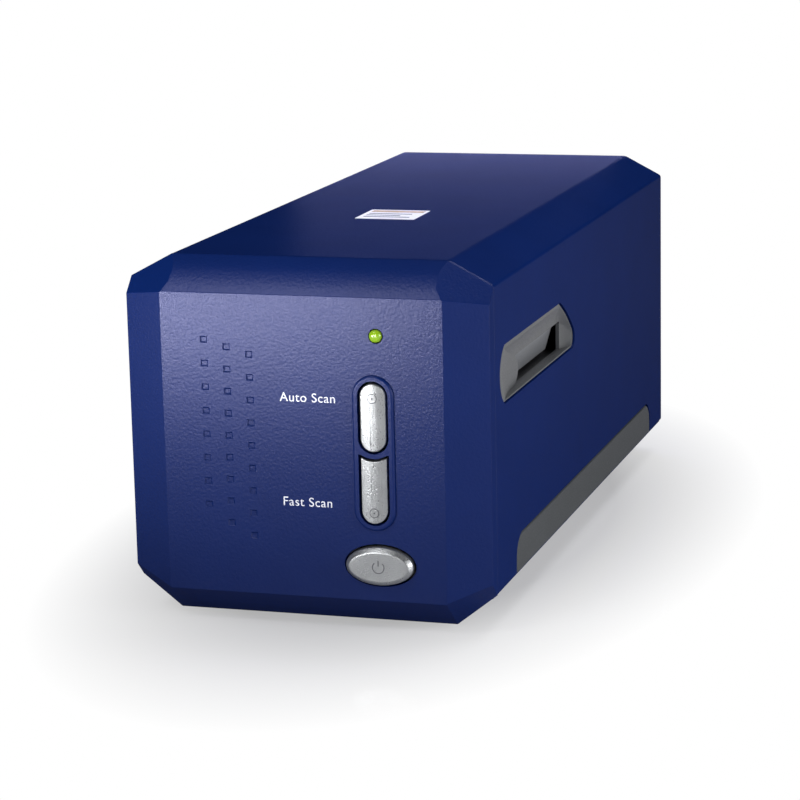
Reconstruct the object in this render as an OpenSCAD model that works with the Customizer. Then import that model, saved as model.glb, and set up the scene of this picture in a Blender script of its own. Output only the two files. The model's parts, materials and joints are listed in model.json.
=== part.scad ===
// Film negative scanner: a desktop scanner for 35 mm film strips and slides.
// Millimetres, +Z up. The front faces -Y, and the origin is on the table under the
// middle of the scanner. Names with _w run along X, _d or _l along Y, _h along Z.

/* [Case] */
// Width over the sides
case_w = 120; // [119:0.5:126]
// Height from the table to the flat top
case_h = 118.5; // [117:0.5:126]
// Depth from the front face to the rear edge of the cover
case_d = 269.4; // [267:0.2:285]
// Wall thickness of the mouldings
wall = 2.8; // [2.6:0.1:3.2]
// Width of the chamfer along each top edge
top_ch_w = 14.2; // [11:0.2:17]
// Height of the chamfer along each top edge
top_ch_h = 7.5; // [5:0.5:9]
// Width of the chamfer along each bottom edge
base_ch_w = 13.2; // [11:0.2:14]
// Height of the chamfer along each bottom edge
base_ch_h = 10.4; // [9.4:0.2:12]
// Free gap between mouldings that fit into each other
fit = 0.2; // [0.1:0.05:0.3]
// Parting line between the bezel and the casing
seam_gap = 0.4; // [0.2:0.1:0.6]
// Thickness of the tongues that key the mouldings together
tongue_t = 1.5; // [1:0.1:1.8]
// Height of the feet under the base
foot_h = 1.5; // [1:0.25:3]
// Radius of a foot
foot_r = 6; // [4:0.5:7]

/* [Front bezel] */
// Depth of the bezel from its face to the seam
bezel_d = 10.8; // [9.6:0.2:12]
// Width of the flat face
face_w = 93; // [90:0.5:95]
// Height of the slope above the flat face
top_slope = 10.5; // [9:0.25:12]
// Height of the slope below the flat face
low_slope = 9.3; // [8:0.25:10]
// Depth at which the bezel's side faces start
side_band = 5.4; // [4:0.2:7]
// Distance from the middle to the first column of dimples
dimple_x = 32.1; // [30:0.1:34]
// Spacing of the columns of dimples
dimple_dx = 7.5; // [6:0.1:9]
// Distance from the face's top edge down to the first column's top dimple
dimple_down = 15; // [12:0.5:23]
// Drop of each next column
dimple_drop = 2.15; // [0:0.05:3]
// Spacing of the dimples in each column
dimple_pitch = [7.66, 7.15, 7.36];
// Dimples in each column
dimple_count = [8, 9, 9];
// Width of a dimple
dimple_w = 2.4; // [1.6:0.1:3]
// Height of a dimple
dimple_h = 2.2; // [1.6:0.1:3]
// Depth of a dimple
dimple_t = 0.8; // [0.4:0.1:1.2]
// Radius of the status lamp's window
led_r = 2.15; // [1.5:0.05:2.5]
// Height of the status lamp over the middle between the scan buttons and the face's top
led_up = 1.4; // [-2:0.2:3]

/* [Buttons] */
// Distance of the lamp and the power button from the middle
power_x = 24.8; // [24:0.1:26]
// Height of the power button
power_z = 22.4; // [22:0.1:23.5]
// Half width of the power button
power_a = 11.2; // [9:0.1:11.6]
// Half height of the power button
power_b = 6.3; // [5:0.1:6.6]
// How far the power button stands out of the face
power_proud = 2.6; // [1.6:0.1:3.4]
// Distance of the scan buttons from the middle
scan_x = 23.6; // [23:0.1:25]
// Half width of a scan button
scan_r = 4.35; // [3.8:0.05:4.6]
// Bottom of the lower scan button
lower_z = 36.1; // [35.6:0.1:37.5]
// Height of the lower scan button
lower_h = 21.5; // [20:0.1:21.8]
// Bottom of the upper scan button
upper_z = 59.2; // [59:0.1:60]
// Height of the upper scan button
upper_h = 22; // [20:0.1:23]
// Depth of the hollow in the lower scan button's top edge
lower_sag = 1.2; // [0.8:0.1:1.6]
// How far the scan buttons stand out of the face
scan_proud = 1.5; // [1.2:0.1:2]
// Gap round a button in the bezel
button_gap = 0.65; // [0.4:0.05:0.75]
// Width of the raised collar round the scan buttons
collar_w = 1.8; // [1.2:0.1:2.4]
// How far the collar stands out of the face
collar_t = 1; // [0.4:0.1:1.2]
// Travel of every button
button_travel = 1; // [0.5:0.1:1.2]
// Thickness of the flange that keeps a button in
flange_t = 1.2; // [1:0.1:1.6]
// Distance from the front face to the button board
board_back = 18; // [17:0.25:20]
// Thickness of the circuit boards
pcb_t = 1.6; // [1:0.1:2]
// Side of a switch
switch_w = 6.2; // [5.6:0.1:7]
// Height of a switch
switch_h = 3.6; // [3.4:0.1:4]
// Radius of a switch's plunger
plunger_r = 1.5; // [1.2:0.1:1.8]

/* [Film slot] */
// Distance from the front face to the middle of the film slot
slot_mid_d = 77.3; // [76:0.1:79]
// Width of the slot for the film holder
slot_w = 60; // [58:0.5:61]
// Height of the slot's sill
slot_z = 72.2; // [71.6:0.1:73]
// Height of the slot
slot_h = 9.8; // [9.2:0.1:10.2]
// Height of the brow above the slot
slot_brow = 8; // [7:0.1:9]
// Height of the surround below the sill
slot_chin = 0.9; // [0.8:0.1:1.5]
// Length of the finger scoop in front of the slot
scoop_front = 30.2; // [28:0.2:32]
// Length of the surround behind the slot
scoop_rear = 11.3; // [10:0.1:13]
// Distance from the slot's rear end to where the surround's top slants down
brow_back = 9.3; // [6:0.1:12]
// Radius of the surround's rear tip
tip_r = 3.6; // [2.5:0.1:4.5]
// How much the surround's front arc exceeds half its height
scoop_ease = 0.85; // [0.5:0.05:2]
// Depth of the surround's rim below the case side
slot_sink = 0.6; // [0.3:0.05:0.8]
// Width of the surround's flat rim
slot_rim = 0.7; // [0.5:0.05:1]
// Depth of the slot's mouth below the case side
slot_pocket = 2.2; // [2:0.05:2.3]
// Reach of the inner flange past the surround
slot_flange = 2; // [1.5:0.1:2.4]

/* [Dust flaps] */
// Distance from the case side's inner face to the hinge
hinge_in = 2; // [2:0.05:2.2]
// Height of the hinge above the slot
hinge_up = 2.8; // [2.7:0.05:3.2]
// Radius of a hinge pin
pin_r = 0.75; // [0.6:0.05:0.8]
// Radius of a flap's knuckle
knuckle_r = 1.7; // [1.5:0.05:1.75]
// Reach of a flap from its hinge
flap_h = 13.2; // [12.8:0.1:13.4]
// Thickness of a flap
flap_t = 1.5; // [1.2:0.1:1.6]
// Lean of a flap at rest
flap_lean = 16; // [14:1:20]
// Length of the return spring
spring_l = 6.4; // [5:0.1:9]

/* [Sides and top] */
// Distance from the front face to the side strip
strip_start = 35.5; // [33:0.5:38]
// Distance from the side strip to the rear edge
strip_end = 23.4; // [20:0.2:30]
// Height of the side strip
strip_h = 12.4; // [11:0.2:13]
// Thickness of the side strip
strip_t = 1.8; // [1.4:0.1:1.9]
// Radius of the strip's upper corners
strip_r = 8; // [5:0.5:10]
// Side of the sticker on the top
label_w = 21.2; // [18:0.2:24]
// Thickness of the sticker
label_t = 0.2; // [0.1:0.05:0.3]
// Distance from the front face to the sticker's middle
label_d = 102; // [95:0.5:110]

/* [Chassis] */
// Thickness of the sheet metal
sheet = 1.5; // [1.2:0.1:1.6]
// Height of the chassis above the case's lower side edge
chassis_up = 1.1; // [1:0.1:1.4]
// Distance from the front face to the chassis front plate
chassis_back = 30.4; // [29:0.2:32]
// Space behind the chassis rear plate
rear_bay = 36; // [35:0.2:37]
// Film window along X
window_w = 38; // [36:0.5:40]
// Film window along Y
window_d = 28; // [25:0.5:30]
// Gap between the film floor and the slot's sill
floor_drop = 1.2; // [1.1:0.1:1.4]
// Thickness of the rails beside the film holder
rail_t = 4; // [3:0.2:4.2]
// Distance from the chassis sides to the ends of the rails
rail_end = 15.2; // [14.7:0.1:17.2]

/* [Carriage] */
// Travel of the carriage
scan_travel = 28; // [24:0.5:29]
// Distance from the guide rods to the carriage's sides
rod_out = 6; // [6:0.25:8]
// Gap between the carriage at home and the chassis rear plate
car_clear = 5.1; // [4.1:0.1:12]
// Length of the carriage in front of the scan line
car_front = 12; // [10:0.5:14]
// Height of the carriage's body
car_h = 37; // [35:0.25:37.5]
// Gap between the main board and the carriage
car_gap = 5.9; // [5.5:0.1:6.3]
// Wall thickness of the carriage
car_wall = 2; // [1.6:0.1:2.4]
// Length of the column that carries the lamp arm
column_d = 10; // [8:0.5:12]
// Height of the lamp arm
arm_h = 16; // [14:0.5:18]
// Gap between the film guide and the lamp arm
arm_gap = 3.6; // [3:0.1:5]
// Radius of a guide rod
rod_r = 3; // [2.5:0.1:3.1]
// Distance from the belt to the guide rods
rod_gap = 9.2; // [8.9:0.1:9.6]
// Height of the rods above the carriage's underside
rod_up = 9; // [8.5:0.1:9.5]
// Radius of a slide bushing
bush_r = 5; // [4.6:0.1:5.2]
// Running clearance of a shaft in its bore
running = 0.05; // [0.03:0.01:0.08]
// Height of the optical axis above the carriage's underside
axis_up = 18; // [17:0.25:19]
// Radius of the lens barrel
lens_r = 9; // [8:0.25:10]
// Length of the lens barrel
lens_l = 24; // [20:0.5:28]

/* [Drive] */
// Distance from the rear edge to the drive pulley's shaft
drive_in = 24; // [23.5:0.1:24.5]
// Height of the pulleys' shafts above the rods
belt_up = 2; // [1.5:0.1:2.5]
// Radius of the belt's inner side
pulley_r = 5; // [4.8:0.1:5.4]
// Thickness of the belt
belt_t = 1; // [0.8:0.1:1.2]
// Width of the belt
belt_w = 3; // [2.4:0.1:3.2]
// Radius of the pulleys' pins
arbor_r = 1.5; // [1.2:0.1:1.8]
// Size of a gear tooth, pitch diameter over teeth
module_t = 0.5; // [0.48:0.01:0.52]
// Teeth of the drive gear
gear_n = 48; // [48:48]
// Teeth of the motor pinion
pinion_n = 12; // [12:12]
// Width of the gears
gear_w = 3; // [2:0.1:3.4]
// Radius of the motor
motor_r = 10; // [9:0.5:10.5]
// Length of the motor
motor_l = 16; // [14:0.5:20]

/* [Rear] */
// Depth of the rear panel in the casing
panel_in = 2.5; // [2:0.1:3]
// Thickness of the rear panel
panel_t = 2.5; // [2:0.1:2.8]
// Depth of the groove that holds the rear panel
groove = 1.2; // [0.8:0.1:1.4]
// Distance of the USB socket from the middle
usb_x = -20; // [-24:0.5:-16]
// Distance of the DC socket from the middle
dc_x = 12; // [8:0.5:14]
// Height of the sockets
socket_h = 11; // [10:0.25:12]

/* [Hidden] */
$fn = 48;

// Case
hw = case_w / 2;
in_x = hw - wall;
y_front = power_proud / 2 - case_d / 2;
y_seam = y_front + bezel_d;
y_case = y_seam + seam_gap;
y_rear = y_front + case_d;
z_side = foot_h + base_ch_h;
z_floor = foot_h + wall;
face_x = face_w / 2;
face_z0 = foot_h + low_slope;
face_z1 = case_h - top_slope;
y_wall = y_front + wall;
tongue_d = 4;
tongue_back = 2.5;
join = 0.5;
lip_up = 6;
lip_down = 1.5;
seam_band = 0.3;
corner_clip = 0.4;
foot_sink = 1;
foot_x = hw - 22;
foot_in = 24;
y_feet = [y_front + foot_in, y_rear - foot_in];

// Screws: shank, the hole it bites into, the hole it passes and its head
screw_r = 1.2;
bite_r = screw_r + running;
pass_r = 1.7;
head_r = 2.8;
head_h = 1.8;
small_r = 0.9;
small_bite_r = small_r + running;
small_head_r = 1.8;
small_head_h = 1.2;
tiny_head_r = 1.6;
tiny_head_h = 1;
post_r = 4;

// Case bosses, where the base's screws hold the cover
boss_w = 8;
boss_h = 12;
boss_bite = 8;
boss_x = in_x - boss_w / 2 - fit;
boss_z = z_side + 1.6;
boss_y = [y_case + 10.2, y_rear - 10.5];
head_z = boss_z - 4;
case_head_h = 2;

// Buttons and their board
y_board = y_front + board_back;
flange_gap = 0.15;
y_flange = y_wall + flange_gap;
y_stem = y_flange + flange_t;
plunger_out = button_travel + 0.6;
plunger_in = 1.2;
y_plunger = y_board - switch_h - plunger_out;
stem_r = 2;
rim_step = 0.5;
flange_reach = 2;
led_flange = [1.2, 1];
led_dome = 0.8;
led_chip = 3;
power_plateau = 1.2;
scan_plateau = 0.4;
led_z = (upper_z + upper_h + face_z1) / 2 + led_up;
dimple_z = face_z1 - dimple_down;
board_x0 = power_x - 14.8;
board_x1 = power_x + 13.2;
board_z0 = power_z - 10.4;
board_z1 = led_z + 8;
board_edge = 3;
board_post_z = [power_z + 11.6, led_z - 8];
led_gap = 0.3;
led_body = 1.5;
upper_mid = upper_z + upper_h / 2;
lower_mid = lower_z + lower_h / 2;

// Bezel bosses, screwed to the chassis
y_chassis = y_front + chassis_back;
bezel_post_x = board_x1 + 4.5;
bezel_post_r = 3.5;
bezel_bite = 10;
board_bite = 6;
bezel_post_z = [face_z0 + 9.2, face_z1 - 8];

// Film slot
y_slot = y_front + slot_mid_d;
slot_y0 = -slot_w / 2;
slot_y1 = slot_w / 2;
slot_top = slot_z + slot_h;
slot_lo = slot_z - slot_chin;
slot_hi = slot_top + slot_brow;
x_rim = hw - slot_sink;
slot_flange_t = 1.2;
x_flange = in_x - slot_flange_t;

// Flap hinge
hinge_x = in_x - hinge_in;
hinge_z = slot_top + hinge_up;
lug_gap = 1;
lug_t = 3;
lug_r = 2.2;
flap_side_gap = 0.3;
flap_y0 = slot_y0 + flap_side_gap;
flap_y1 = slot_y1 - flap_side_gap;
spring_gap = 0.3;
spring_y1 = slot_y1 + lug_gap - spring_gap;
spring_y0 = spring_y1 - spring_l;
knuckle_y1 = spring_y0 - spring_gap;
spring_in = pin_r + 0.15;
spring_out = knuckle_r - 0.15;

// Chassis
chassis_x = in_x - fit - tongue_t - 0.3;
belt_x0 = chassis_x - 6;
rod_x = belt_x0 - rod_gap;
z_chassis = z_side + chassis_up;
z_deck = z_chassis + sheet;
y_plate = y_rear - rear_bay;
y_deck_end = boss_y[1] - boss_w / 2 - 3.5;
front_plate_x = chassis_x - 5.2;
rear_plate_x = rod_x + 4;
rear_plate_up = 9;
rail_x = chassis_x - rail_end;
front_plate_h = face_z1 - 2;
guide_d = slot_w / 2 + 0.5 + rail_t;
z_film = slot_z - floor_drop;
z_rail = slot_top + 0.4;
guide_t = 2;
guide_flange = 8.7;
guide_screw_x = chassis_x - 5.7;
guide_screw_y = guide_d - 2;
base_post_x = hw - 30;
main_post_r = 3;
base_post_y = [y_chassis + 13, y_plate - 20];

// Boards
board_up = 3;
z_board = z_deck + board_up;
z_top = z_board + pcb_t;
main_x = rear_plate_x - 4.5;
board_slack = 1;
chip_t = 1.5;
cap_size = [4, 9];
small_cap = [3, 7];
main_front = 80;
main_gap = 0.5;
main_y0 = y_plate - main_front;
main_y1 = y_rear - panel_in - panel_t - main_gap;
main_post_in = 8;
main_post_x = main_x - board_edge - 1.5;
main_post_y = [main_y0 + main_post_in, y_plate - main_post_in];

// Carriage, at home in its rearmost place
y_home = y_slot + scan_travel / 2;
car_y0 = y_home - car_front;
car_y1 = y_plate - car_clear;
car_x = rod_x - rod_out;
car_z = z_top + car_gap;
car_top = car_z + car_h;
column_y = y_slot + guide_d + 1.5 + scan_travel;
arm_z = z_rail + guide_t + arm_gap;
arm_top = arm_z + arm_h;
column_w = 10;
column_in = car_x - column_w;
opt_z = car_z + axis_up;
rod_z = car_z + rod_up;
lug_w = rod_x + rod_out;
lug_h = 5.5;
car_lug_d = 15;
lug_front = 9;
lug_rear = 47;
right_lugs = [car_y0 + lug_front, car_y1 - lug_rear];
left_lug_d = 42;
left_lug = y_home + left_lug_d;
lid_t = 1.5;
slit_w = 40;
slit_d = 4;
mirror_in = 12;
mirror_w = 2 * (car_x - mirror_in);
mirror_l = 22;
mirror_t = 3;
lens_d = 50;
lens_y = y_home + lens_d;
lens_wall = 1.5;
element_in = 4;
element_edge = 0.8;
cradle_x = 13;
clamp_d = 10;
clamp_ear = 2;
clamp_up = 1.5;
sensor_in = 15;
sensor_y = car_y1 - sensor_in;
sensor_w = 42;
sensor_h = 10;
sensor_t = 4;
ccd_in = 6;
ccd_x = car_x - ccd_in;
ccd_down = 13;
ccd_up = 15;
ccd_z = [opt_z - ccd_down, opt_z + ccd_up];
ccd_post_in = 4;
ccd_post_x = [ccd_post_in - ccd_x, ccd_x - ccd_post_in];
ccd_post_z = [ccd_z[0] + ccd_post_in, ccd_z[1] - ccd_post_in];
ccd_post_r = 2.5;
lamp_ledge = 2.5;
lamp_d = 12;
lamp_end = 4;
lamp_chip = [3, 1];
lamp_pitch = 6;
diffuser_t = 2;

// Drive
belt_z = rod_z + belt_up;
y_drive = y_rear - drive_in;
y_idler = y_slot + guide_d - 8.4;
pulley_x0 = belt_x0 - 0.2;
pulley_x1 = belt_x0 + belt_w + 0.2;
rim_w = 0.8;
rim_r = pulley_r + 1.8;
bracket_t = 1.5;
bracket_x = pulley_x0 - rim_w - gear_w - bracket_t - 1.7;
gear_x = bracket_x + bracket_t + 0.9;
gear_play = 0.15;
gear_span = module_t * (gear_n + pinion_n) / 2 + gear_play;
motor_dy = 3;
motor_edge = 2;
hub_r = arbor_r + 2;
motor_dz = sqrt(gear_span * gear_span - motor_dy * motor_dy);
y_motor = y_drive + motor_dy;
z_motor = belt_z + motor_dz;
shaft_r = 1;
shaft_in = 6;
motor_nose_r = 4;
bracket_y = [y_drive - 9, y_drive + 14];
bracket_foot = 6.5;
clamp_y = right_lugs[1];
clamp_x0 = car_x + 0.3;
clamp_screw_x = car_x + 1.9;
clamp_t = 1.2;
clamp_bite = 1.5;

// Sensor that finds the carriage at home
flag_x = rod_x - rod_r;
flag_t = 1;
flag_y = right_lugs[1] + 2.5;
flag_d = 5;
flag_gap = 0.8;

// Rear panel and sockets
y_panel = y_rear - panel_in - panel_t;
usb_w = 12;
usb_wall = [1.8, 1.6];
usb_tongue = [5.6, 3];
usb_back = 3;
dc_w = 9;
socket_d = 16;
socket_hole = 0.3;
dc_r = 3.1;
dc_pin_r = 1;
dc_back = 4;

// Run of a chamfer along a after its walls are inset by t; b is its other run
function cut(a, b, t) = a - t * (a + b - norm([a, b])) / b;

// Outline of the casing seen from the front, inset by t
function shell_outline(t) =
  let (x = hw - t, z1 = case_h - t, z0 = foot_h + t,
    tx = cut(top_ch_w, top_ch_h, t), tz = cut(top_ch_h, top_ch_w, t),
    bx = cut(base_ch_w, base_ch_h, t), bz = cut(base_ch_h, base_ch_w, t))
  [[-x, z0 + bz], [bx - x, z0], [x - bx, z0], [x, z0 + bz],
    [x, z1 - tz], [x - tx, z1], [tx - x, z1], [-x, z1 - tz]];

// Points of an arc round c from angle a0 to a1 in n steps
function arc(c, r, a0, a1, n) =
  [for (i = [0:n]) let (a = a0 + (a1 - a0) * i / n) c + r * [cos(a), sin(a)]];

function ellipse(a, b, n) =
  [for (i = [0:n - 1]) [a * cos(360 * i / n), b * sin(360 * i / n)]];

// Outline of the slot's surround in Y and Z about the slot's middle, grown by e
function slot_outline(e) =
  let (z0 = slot_lo - e, z1 = slot_hi + e,
    r = (slot_hi - slot_lo) / 2 + scoop_ease + e,
    half = asin((z1 - z0) / 2 / r),
    front = [slot_y0 - scoop_front + r - e, (z0 + z1) / 2],
    tip = [slot_y1 + scoop_rear - tip_r, slot_lo + tip_r],
    lean = 48, bulge = 1.8,
    a = [slot_y1 - brow_back + e / 4, z1],
    b = tip + (tip_r + e) * [cos(lean), sin(lean)],
    side = [a[1] - b[1], b[0] - a[0]] / norm(a - b),
    m = (a + b) / 2 + bulge * side)
  concat(arc(front, r, 180 + half, 180 - half, 20),
    [for (i = [0:8]) let (t = i / 8) a * (1 - t) * (1 - t) + 2 * t * (1 - t) * m + t * t * b],
    arc(tip, tip_r + e, lean - 8, -90, 10));

// Outline of the side strip in Y and Z, grown by e at its top and ends
function strip_outline(e) =
  let (y0 = y_front + strip_start - e, y1 = y_rear - strip_end + e,
    z1 = z_side + strip_h + e, r = strip_r + e)
  concat([[y1, z_side], [y1, z1 - r]], arc([y1 - r, z1 - r], r, 10, 90, 12),
    arc([y0 + r, z1 - r], r, 90, 170, 12), [[y0, z1 - r], [y0, z_side]]);

// Outline of a gear with straight-sided teeth, tooth 0 at angle a0
function gear_outline(n, a0) =
  let (r = module_t * n / 2, tip = r + 0.85 * module_t, root = r - 1.2 * module_t,
    step = 360 / n, thick = 0.27, thin = 0.12)
  [for (i = [0:n - 1]) for (p = [[root, -thick], [tip, -thin], [tip, thin], [root, thick]])
    let (a = a0 + step * (i + p[1])) p[0] * [cos(a), sin(a)]];

module along_y(y0, y1) {
  translate([0, y1, 0]) rotate([90, 0, 0]) linear_extrude(y1 - y0) children();
}

module along_x(x0, x1) {
  translate([x0, 0, 0]) rotate([90, 0, 90]) linear_extrude(x1 - x0) children();
}

// A box from its lowest to its highest corner
module block(lo, hi) {
  translate(lo) cube(hi - lo);
}

module shell_form(t, y0, y1) {
  along_y(y0, y1) polygon(shell_outline(t));
}

module rod_y(x, z, r, y0, y1) {
  along_y(y0, y1) translate([x, z]) circle(r);
}

module rod_x(y, z, r, x0, x1) {
  along_x(x0, x1) translate([y, z]) circle(r);
}

module post(x, y, r, z0, z1) {
  translate([x, y, z0]) cylinder(r = r, h = z1 - z0);
}

module both_sides() {
  children();
  mirror([1, 0, 0]) children();
}

// A screw with its shank up from z = 0 and its head below
module screw(r, l, hr, hh) {
  slot = hr * 0.3;
  arm = hr * 0.6;
  union() {
    cylinder(r = r, h = l);
    difference() {
      translate([0, 0, -hh]) cylinder(r = hr, h = hh);
      block([-slot / 2, -arm, -hh - 1], [slot / 2, arm, -hh / 2]);
      block([-arm, -slot / 2, -hh - 1], [arm, slot / 2, -hh / 2]);
    }
  }
}

// All that lies outside the plane through p, q and r, which is moved in by t
module beyond(p, q, r, t) {
  n = cross(q - p, r - p) / norm(cross(q - p, r - p));
  translate(p - n * t) rotate([0, acos(n[2]), atan2(n[1], n[0])])
    block([-case_w, -case_w, 0], [case_w, case_w, case_w]);
}

// The bezel's faceted form, inset by t
module bezel_form(t, y1) {
  y_end = y_seam - seam_band;
  y_corner = y_end - seam_band / 2;
  top = [hw - top_ch_w, y_corner, case_h];
  side_top = [hw, y_corner, case_h - top_ch_h];
  low = [hw - base_ch_w, y_corner, foot_h];
  side_low = [hw, y_corner, z_side];
  corner_top = [face_x - corner_clip, y_front, face_z1];
  corner_low = [face_x - corner_clip, y_front, face_z0];
  difference() {
    shell_form(t, y_front + t, y1);
    beyond([-face_x, y_front, face_z1], [face_x, y_front, face_z1], [0, y_end, case_h], t);
    beyond([face_x, y_front, face_z0], [-face_x, y_front, face_z0], [0, y_end, foot_h], t);
    for (side = [0, 1]) mirror([side, 0, 0]) {
      beyond([face_x, y_front, face_z0], [hw, y_front + side_band, face_z0],
        [face_x, y_front, face_z1], t);
      beyond(corner_top, side_top, top, t);
      beyond(corner_low, low, side_low, t);
    }
  }
}

module upright(r, z0, z1) {
  translate([0, z0 + r]) circle(r);
  translate([0, z1 - r]) circle(r);
  translate([-r, z0 + r]) square([2 * r, z1 - z0 - 2 * r]);
}

// Faces of the two scan buttons, grown by e
module upper_face(e) {
  translate([scan_x, 0]) upright(scan_r + e, upper_z - e, upper_z + upper_h + e);
}

module lower_face(e) {
  top = lower_z + lower_h;
  hollow = (scan_r * scan_r + lower_sag * lower_sag) / 2 / lower_sag;
  translate([scan_x, 0]) difference() {
    union() {
      translate([0, lower_z + scan_r]) circle(scan_r + e);
      translate([-scan_r - e, lower_z + scan_r])
        square([2 * (scan_r + e), lower_h - scan_r + e]);
    }
    translate([0, top - lower_sag + hollow]) circle(hollow - e);
  }
}

module power_face(e) {
  translate([power_x, power_z]) polygon(ellipse(power_a + e, power_b + e, 72));
}

module dimples() {
  for (col = [0:2]) for (i = [0:dimple_count[col] - 1])
    translate([-dimple_x + col * dimple_dx - dimple_w / 2, y_front - 1,
      dimple_z - col * dimple_drop - i * dimple_pitch[col] - dimple_h / 2])
      cube([dimple_w, dimple_t + 1, dimple_h]);
}

module bezel_tongue() {
  out = wall + fit;
  difference() {
    union() {
      shell_form(wall - join, y_seam - tongue_back, y_seam);
      shell_form(out, y_seam - 1, y_seam + tongue_d);
    }
    shell_form(out + tongue_t, y_seam - tongue_back - 1, y_seam + tongue_d + 1);
  }
}

// Where the button board's screws go
module at_board_posts() {
  for (x = [board_x0 + board_edge, board_x1 - board_edge]) for (z = board_post_z)
    translate([x, 0, z]) children();
}

module at_bezel_posts() {
  for (x = [-bezel_post_x, bezel_post_x]) for (z = bezel_post_z)
    translate([x, 0, z]) children();
}

module front_bezel() {
  color("#2e3270") difference() {
    union() {
      difference() {
        bezel_form(0, y_seam);
        bezel_form(wall, y_seam + 1);
      }
      bezel_tongue();
      along_y(y_front - collar_t, y_front) translate([scan_x, 0])
        upright(scan_r + button_gap + collar_w, lower_z - button_gap - collar_w,
          upper_z + upper_h + button_gap + collar_w);
      at_board_posts() rod_y(0, 0, board_edge, y_wall - join, y_board);
      at_bezel_posts() rod_y(0, 0, bezel_post_r, y_wall - join, y_chassis);
    }
    along_y(y_front - 2, y_wall + 1) {
      upper_face(button_gap);
      lower_face(button_gap);
      power_face(button_gap);
    }
    rod_y(power_x, led_z, led_r + fit * 0.75, y_front - 3, y_wall + 1);
    dimples();
    at_board_posts() rod_y(0, 0, small_bite_r, y_board - board_bite - 2, y_board + 1);
    at_bezel_posts() rod_y(0, 0, bite_r, y_chassis - bezel_bite - 2, y_chassis + 1);
  }
}

module strip_cut(e) {
  along_x(hw - strip_t, hw + 1) polygon(strip_outline(e));
}

module top_cover() {
  color("#16225e") difference() {
    union() {
      difference() {
        shell_form(0, y_case, y_rear);
        shell_form(wall, y_case - 1, y_rear + 1);
        block([-in_x, y_case - 1, z_side - 1], [in_x, y_rear + 1, z_side + boss_h]);
        block([-case_w, y_case - 1, -1], [case_w, y_rear + 1, z_side]);
      }
      both_sides() for (y = boss_y)
        block([boss_x - boss_w / 2, y - boss_w / 2, boss_z],
          [in_x + join, y + boss_w / 2, boss_z + boss_h]);
    }
    both_sides() {
      along_x(in_x - 1, hw + 1) translate([y_slot, 0]) polygon(slot_outline(fit));
      strip_cut(fit);
      for (y = boss_y) post(boss_x, y, bite_r, boss_z - 1, boss_z + boss_h - 2);
    }
    block([-label_w / 2 - fit, y_front + label_d - label_w / 2 - fit, case_h - label_t],
      [label_w / 2 + fit, y_front + label_d + label_w / 2 + fit, case_h + 1]);
    shell_form(wall - groove, y_panel - fit / 2, y_panel + panel_t + fit / 2);
  }
}

module base_pan() {
  lip_y = [boss_y[0] + boss_w / 2 + 2, boss_y[1] - boss_w / 2 - 2];
  color("#141f58") difference() {
    union() {
      difference() {
        shell_form(0, y_case, y_rear);
        shell_form(wall, y_case - 1, y_rear + 1);
        block([-case_w, y_case - 1, z_side], [case_w, y_rear + 1, case_h + 1]);
      }
      both_sides()
        block([in_x - fit - tongue_t, lip_y[0], z_side - lip_down],
          [in_x - fit, lip_y[1], z_side + lip_up]);
      intersection() {
        union() both_sides() for (y = boss_y)
          post(boss_x, y, post_r, z_floor - 1, boss_z);
        union() {
          shell_form(0, y_case, y_rear);
          block([-in_x + fit, y_case, z_side - 2], [in_x - fit, y_rear, boss_z]);
        }
      }
      both_sides() for (y = base_post_y)
        post(base_post_x, y, post_r, z_floor - 1, z_chassis);
    }
    both_sides() {
      for (y = boss_y) {
        post(boss_x, y, head_r + 0.3, -1, head_z);
        post(boss_x, y, pass_r, 0, boss_z + 1);
      }
      for (y = base_post_y) post(base_post_x, y, bite_r, z_floor, z_chassis + 1);
      for (y = y_feet) post(foot_x, y, foot_r + fit / 2, foot_h - 1, foot_h + foot_sink);
    }
    shell_form(wall - groove, y_panel - fit / 2, y_panel + panel_t + fit / 2);
  }
}

module rear_panel() {
  h = socket_hole;
  color("#1b1c22") difference() {
    shell_form(wall - groove + fit / 2, y_panel, y_panel + panel_t);
    block([usb_x - usb_w / 2 - h, y_panel - 1, z_top - h],
      [usb_x + usb_w / 2 + h, y_rear, z_top + socket_h + h]);
    block([dc_x - dc_w / 2 - h, y_panel - 1, z_top - h],
      [dc_x + dc_w / 2 + h, y_rear, z_top + socket_h + h]);
  }
}

module side_strip() {
  color("#4c4f52") along_x(hw - strip_t, hw) polygon(strip_outline(0));
}

module at_slot() {
  translate([0, y_slot, 0]) children();
}

module at_hinge() {
  translate([hinge_x, y_slot, hinge_z]) children();
}

module slot_bezel() {
  x_mouth = hw - slot_pocket;
  color("#56575c") at_slot() difference() {
    union() {
      along_x(in_x, x_rim) polygon(slot_outline(0));
      along_x(x_flange, in_x) polygon(slot_outline(slot_flange));
      for (y = [slot_y0 - lug_gap - lug_t, slot_y1 + lug_gap])
        block([hinge_x - lug_r, y, hinge_z - lug_r], [x_flange, y + lug_t, hinge_z + lug_r]);
    }
    hull() {
      along_x(x_rim, x_rim + 1) polygon(slot_outline(-slot_rim));
      block([x_mouth, slot_y0, slot_z], [x_mouth + 0.1, slot_y1, slot_top]);
    }
    block([x_flange - 1, slot_y0, slot_z], [x_rim, slot_y1, slot_top]);
    block([x_flange - 1, slot_y0 - lug_gap, slot_top - 1],
      [in_x, slot_y1 + lug_gap, hinge_z + lug_r + 0.5]);
    rod_y(hinge_x, hinge_z, pin_r + running, slot_y0 - lug_gap - lug_t - 1,
      slot_y1 + lug_gap + lug_t + 1);
  }
}

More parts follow.
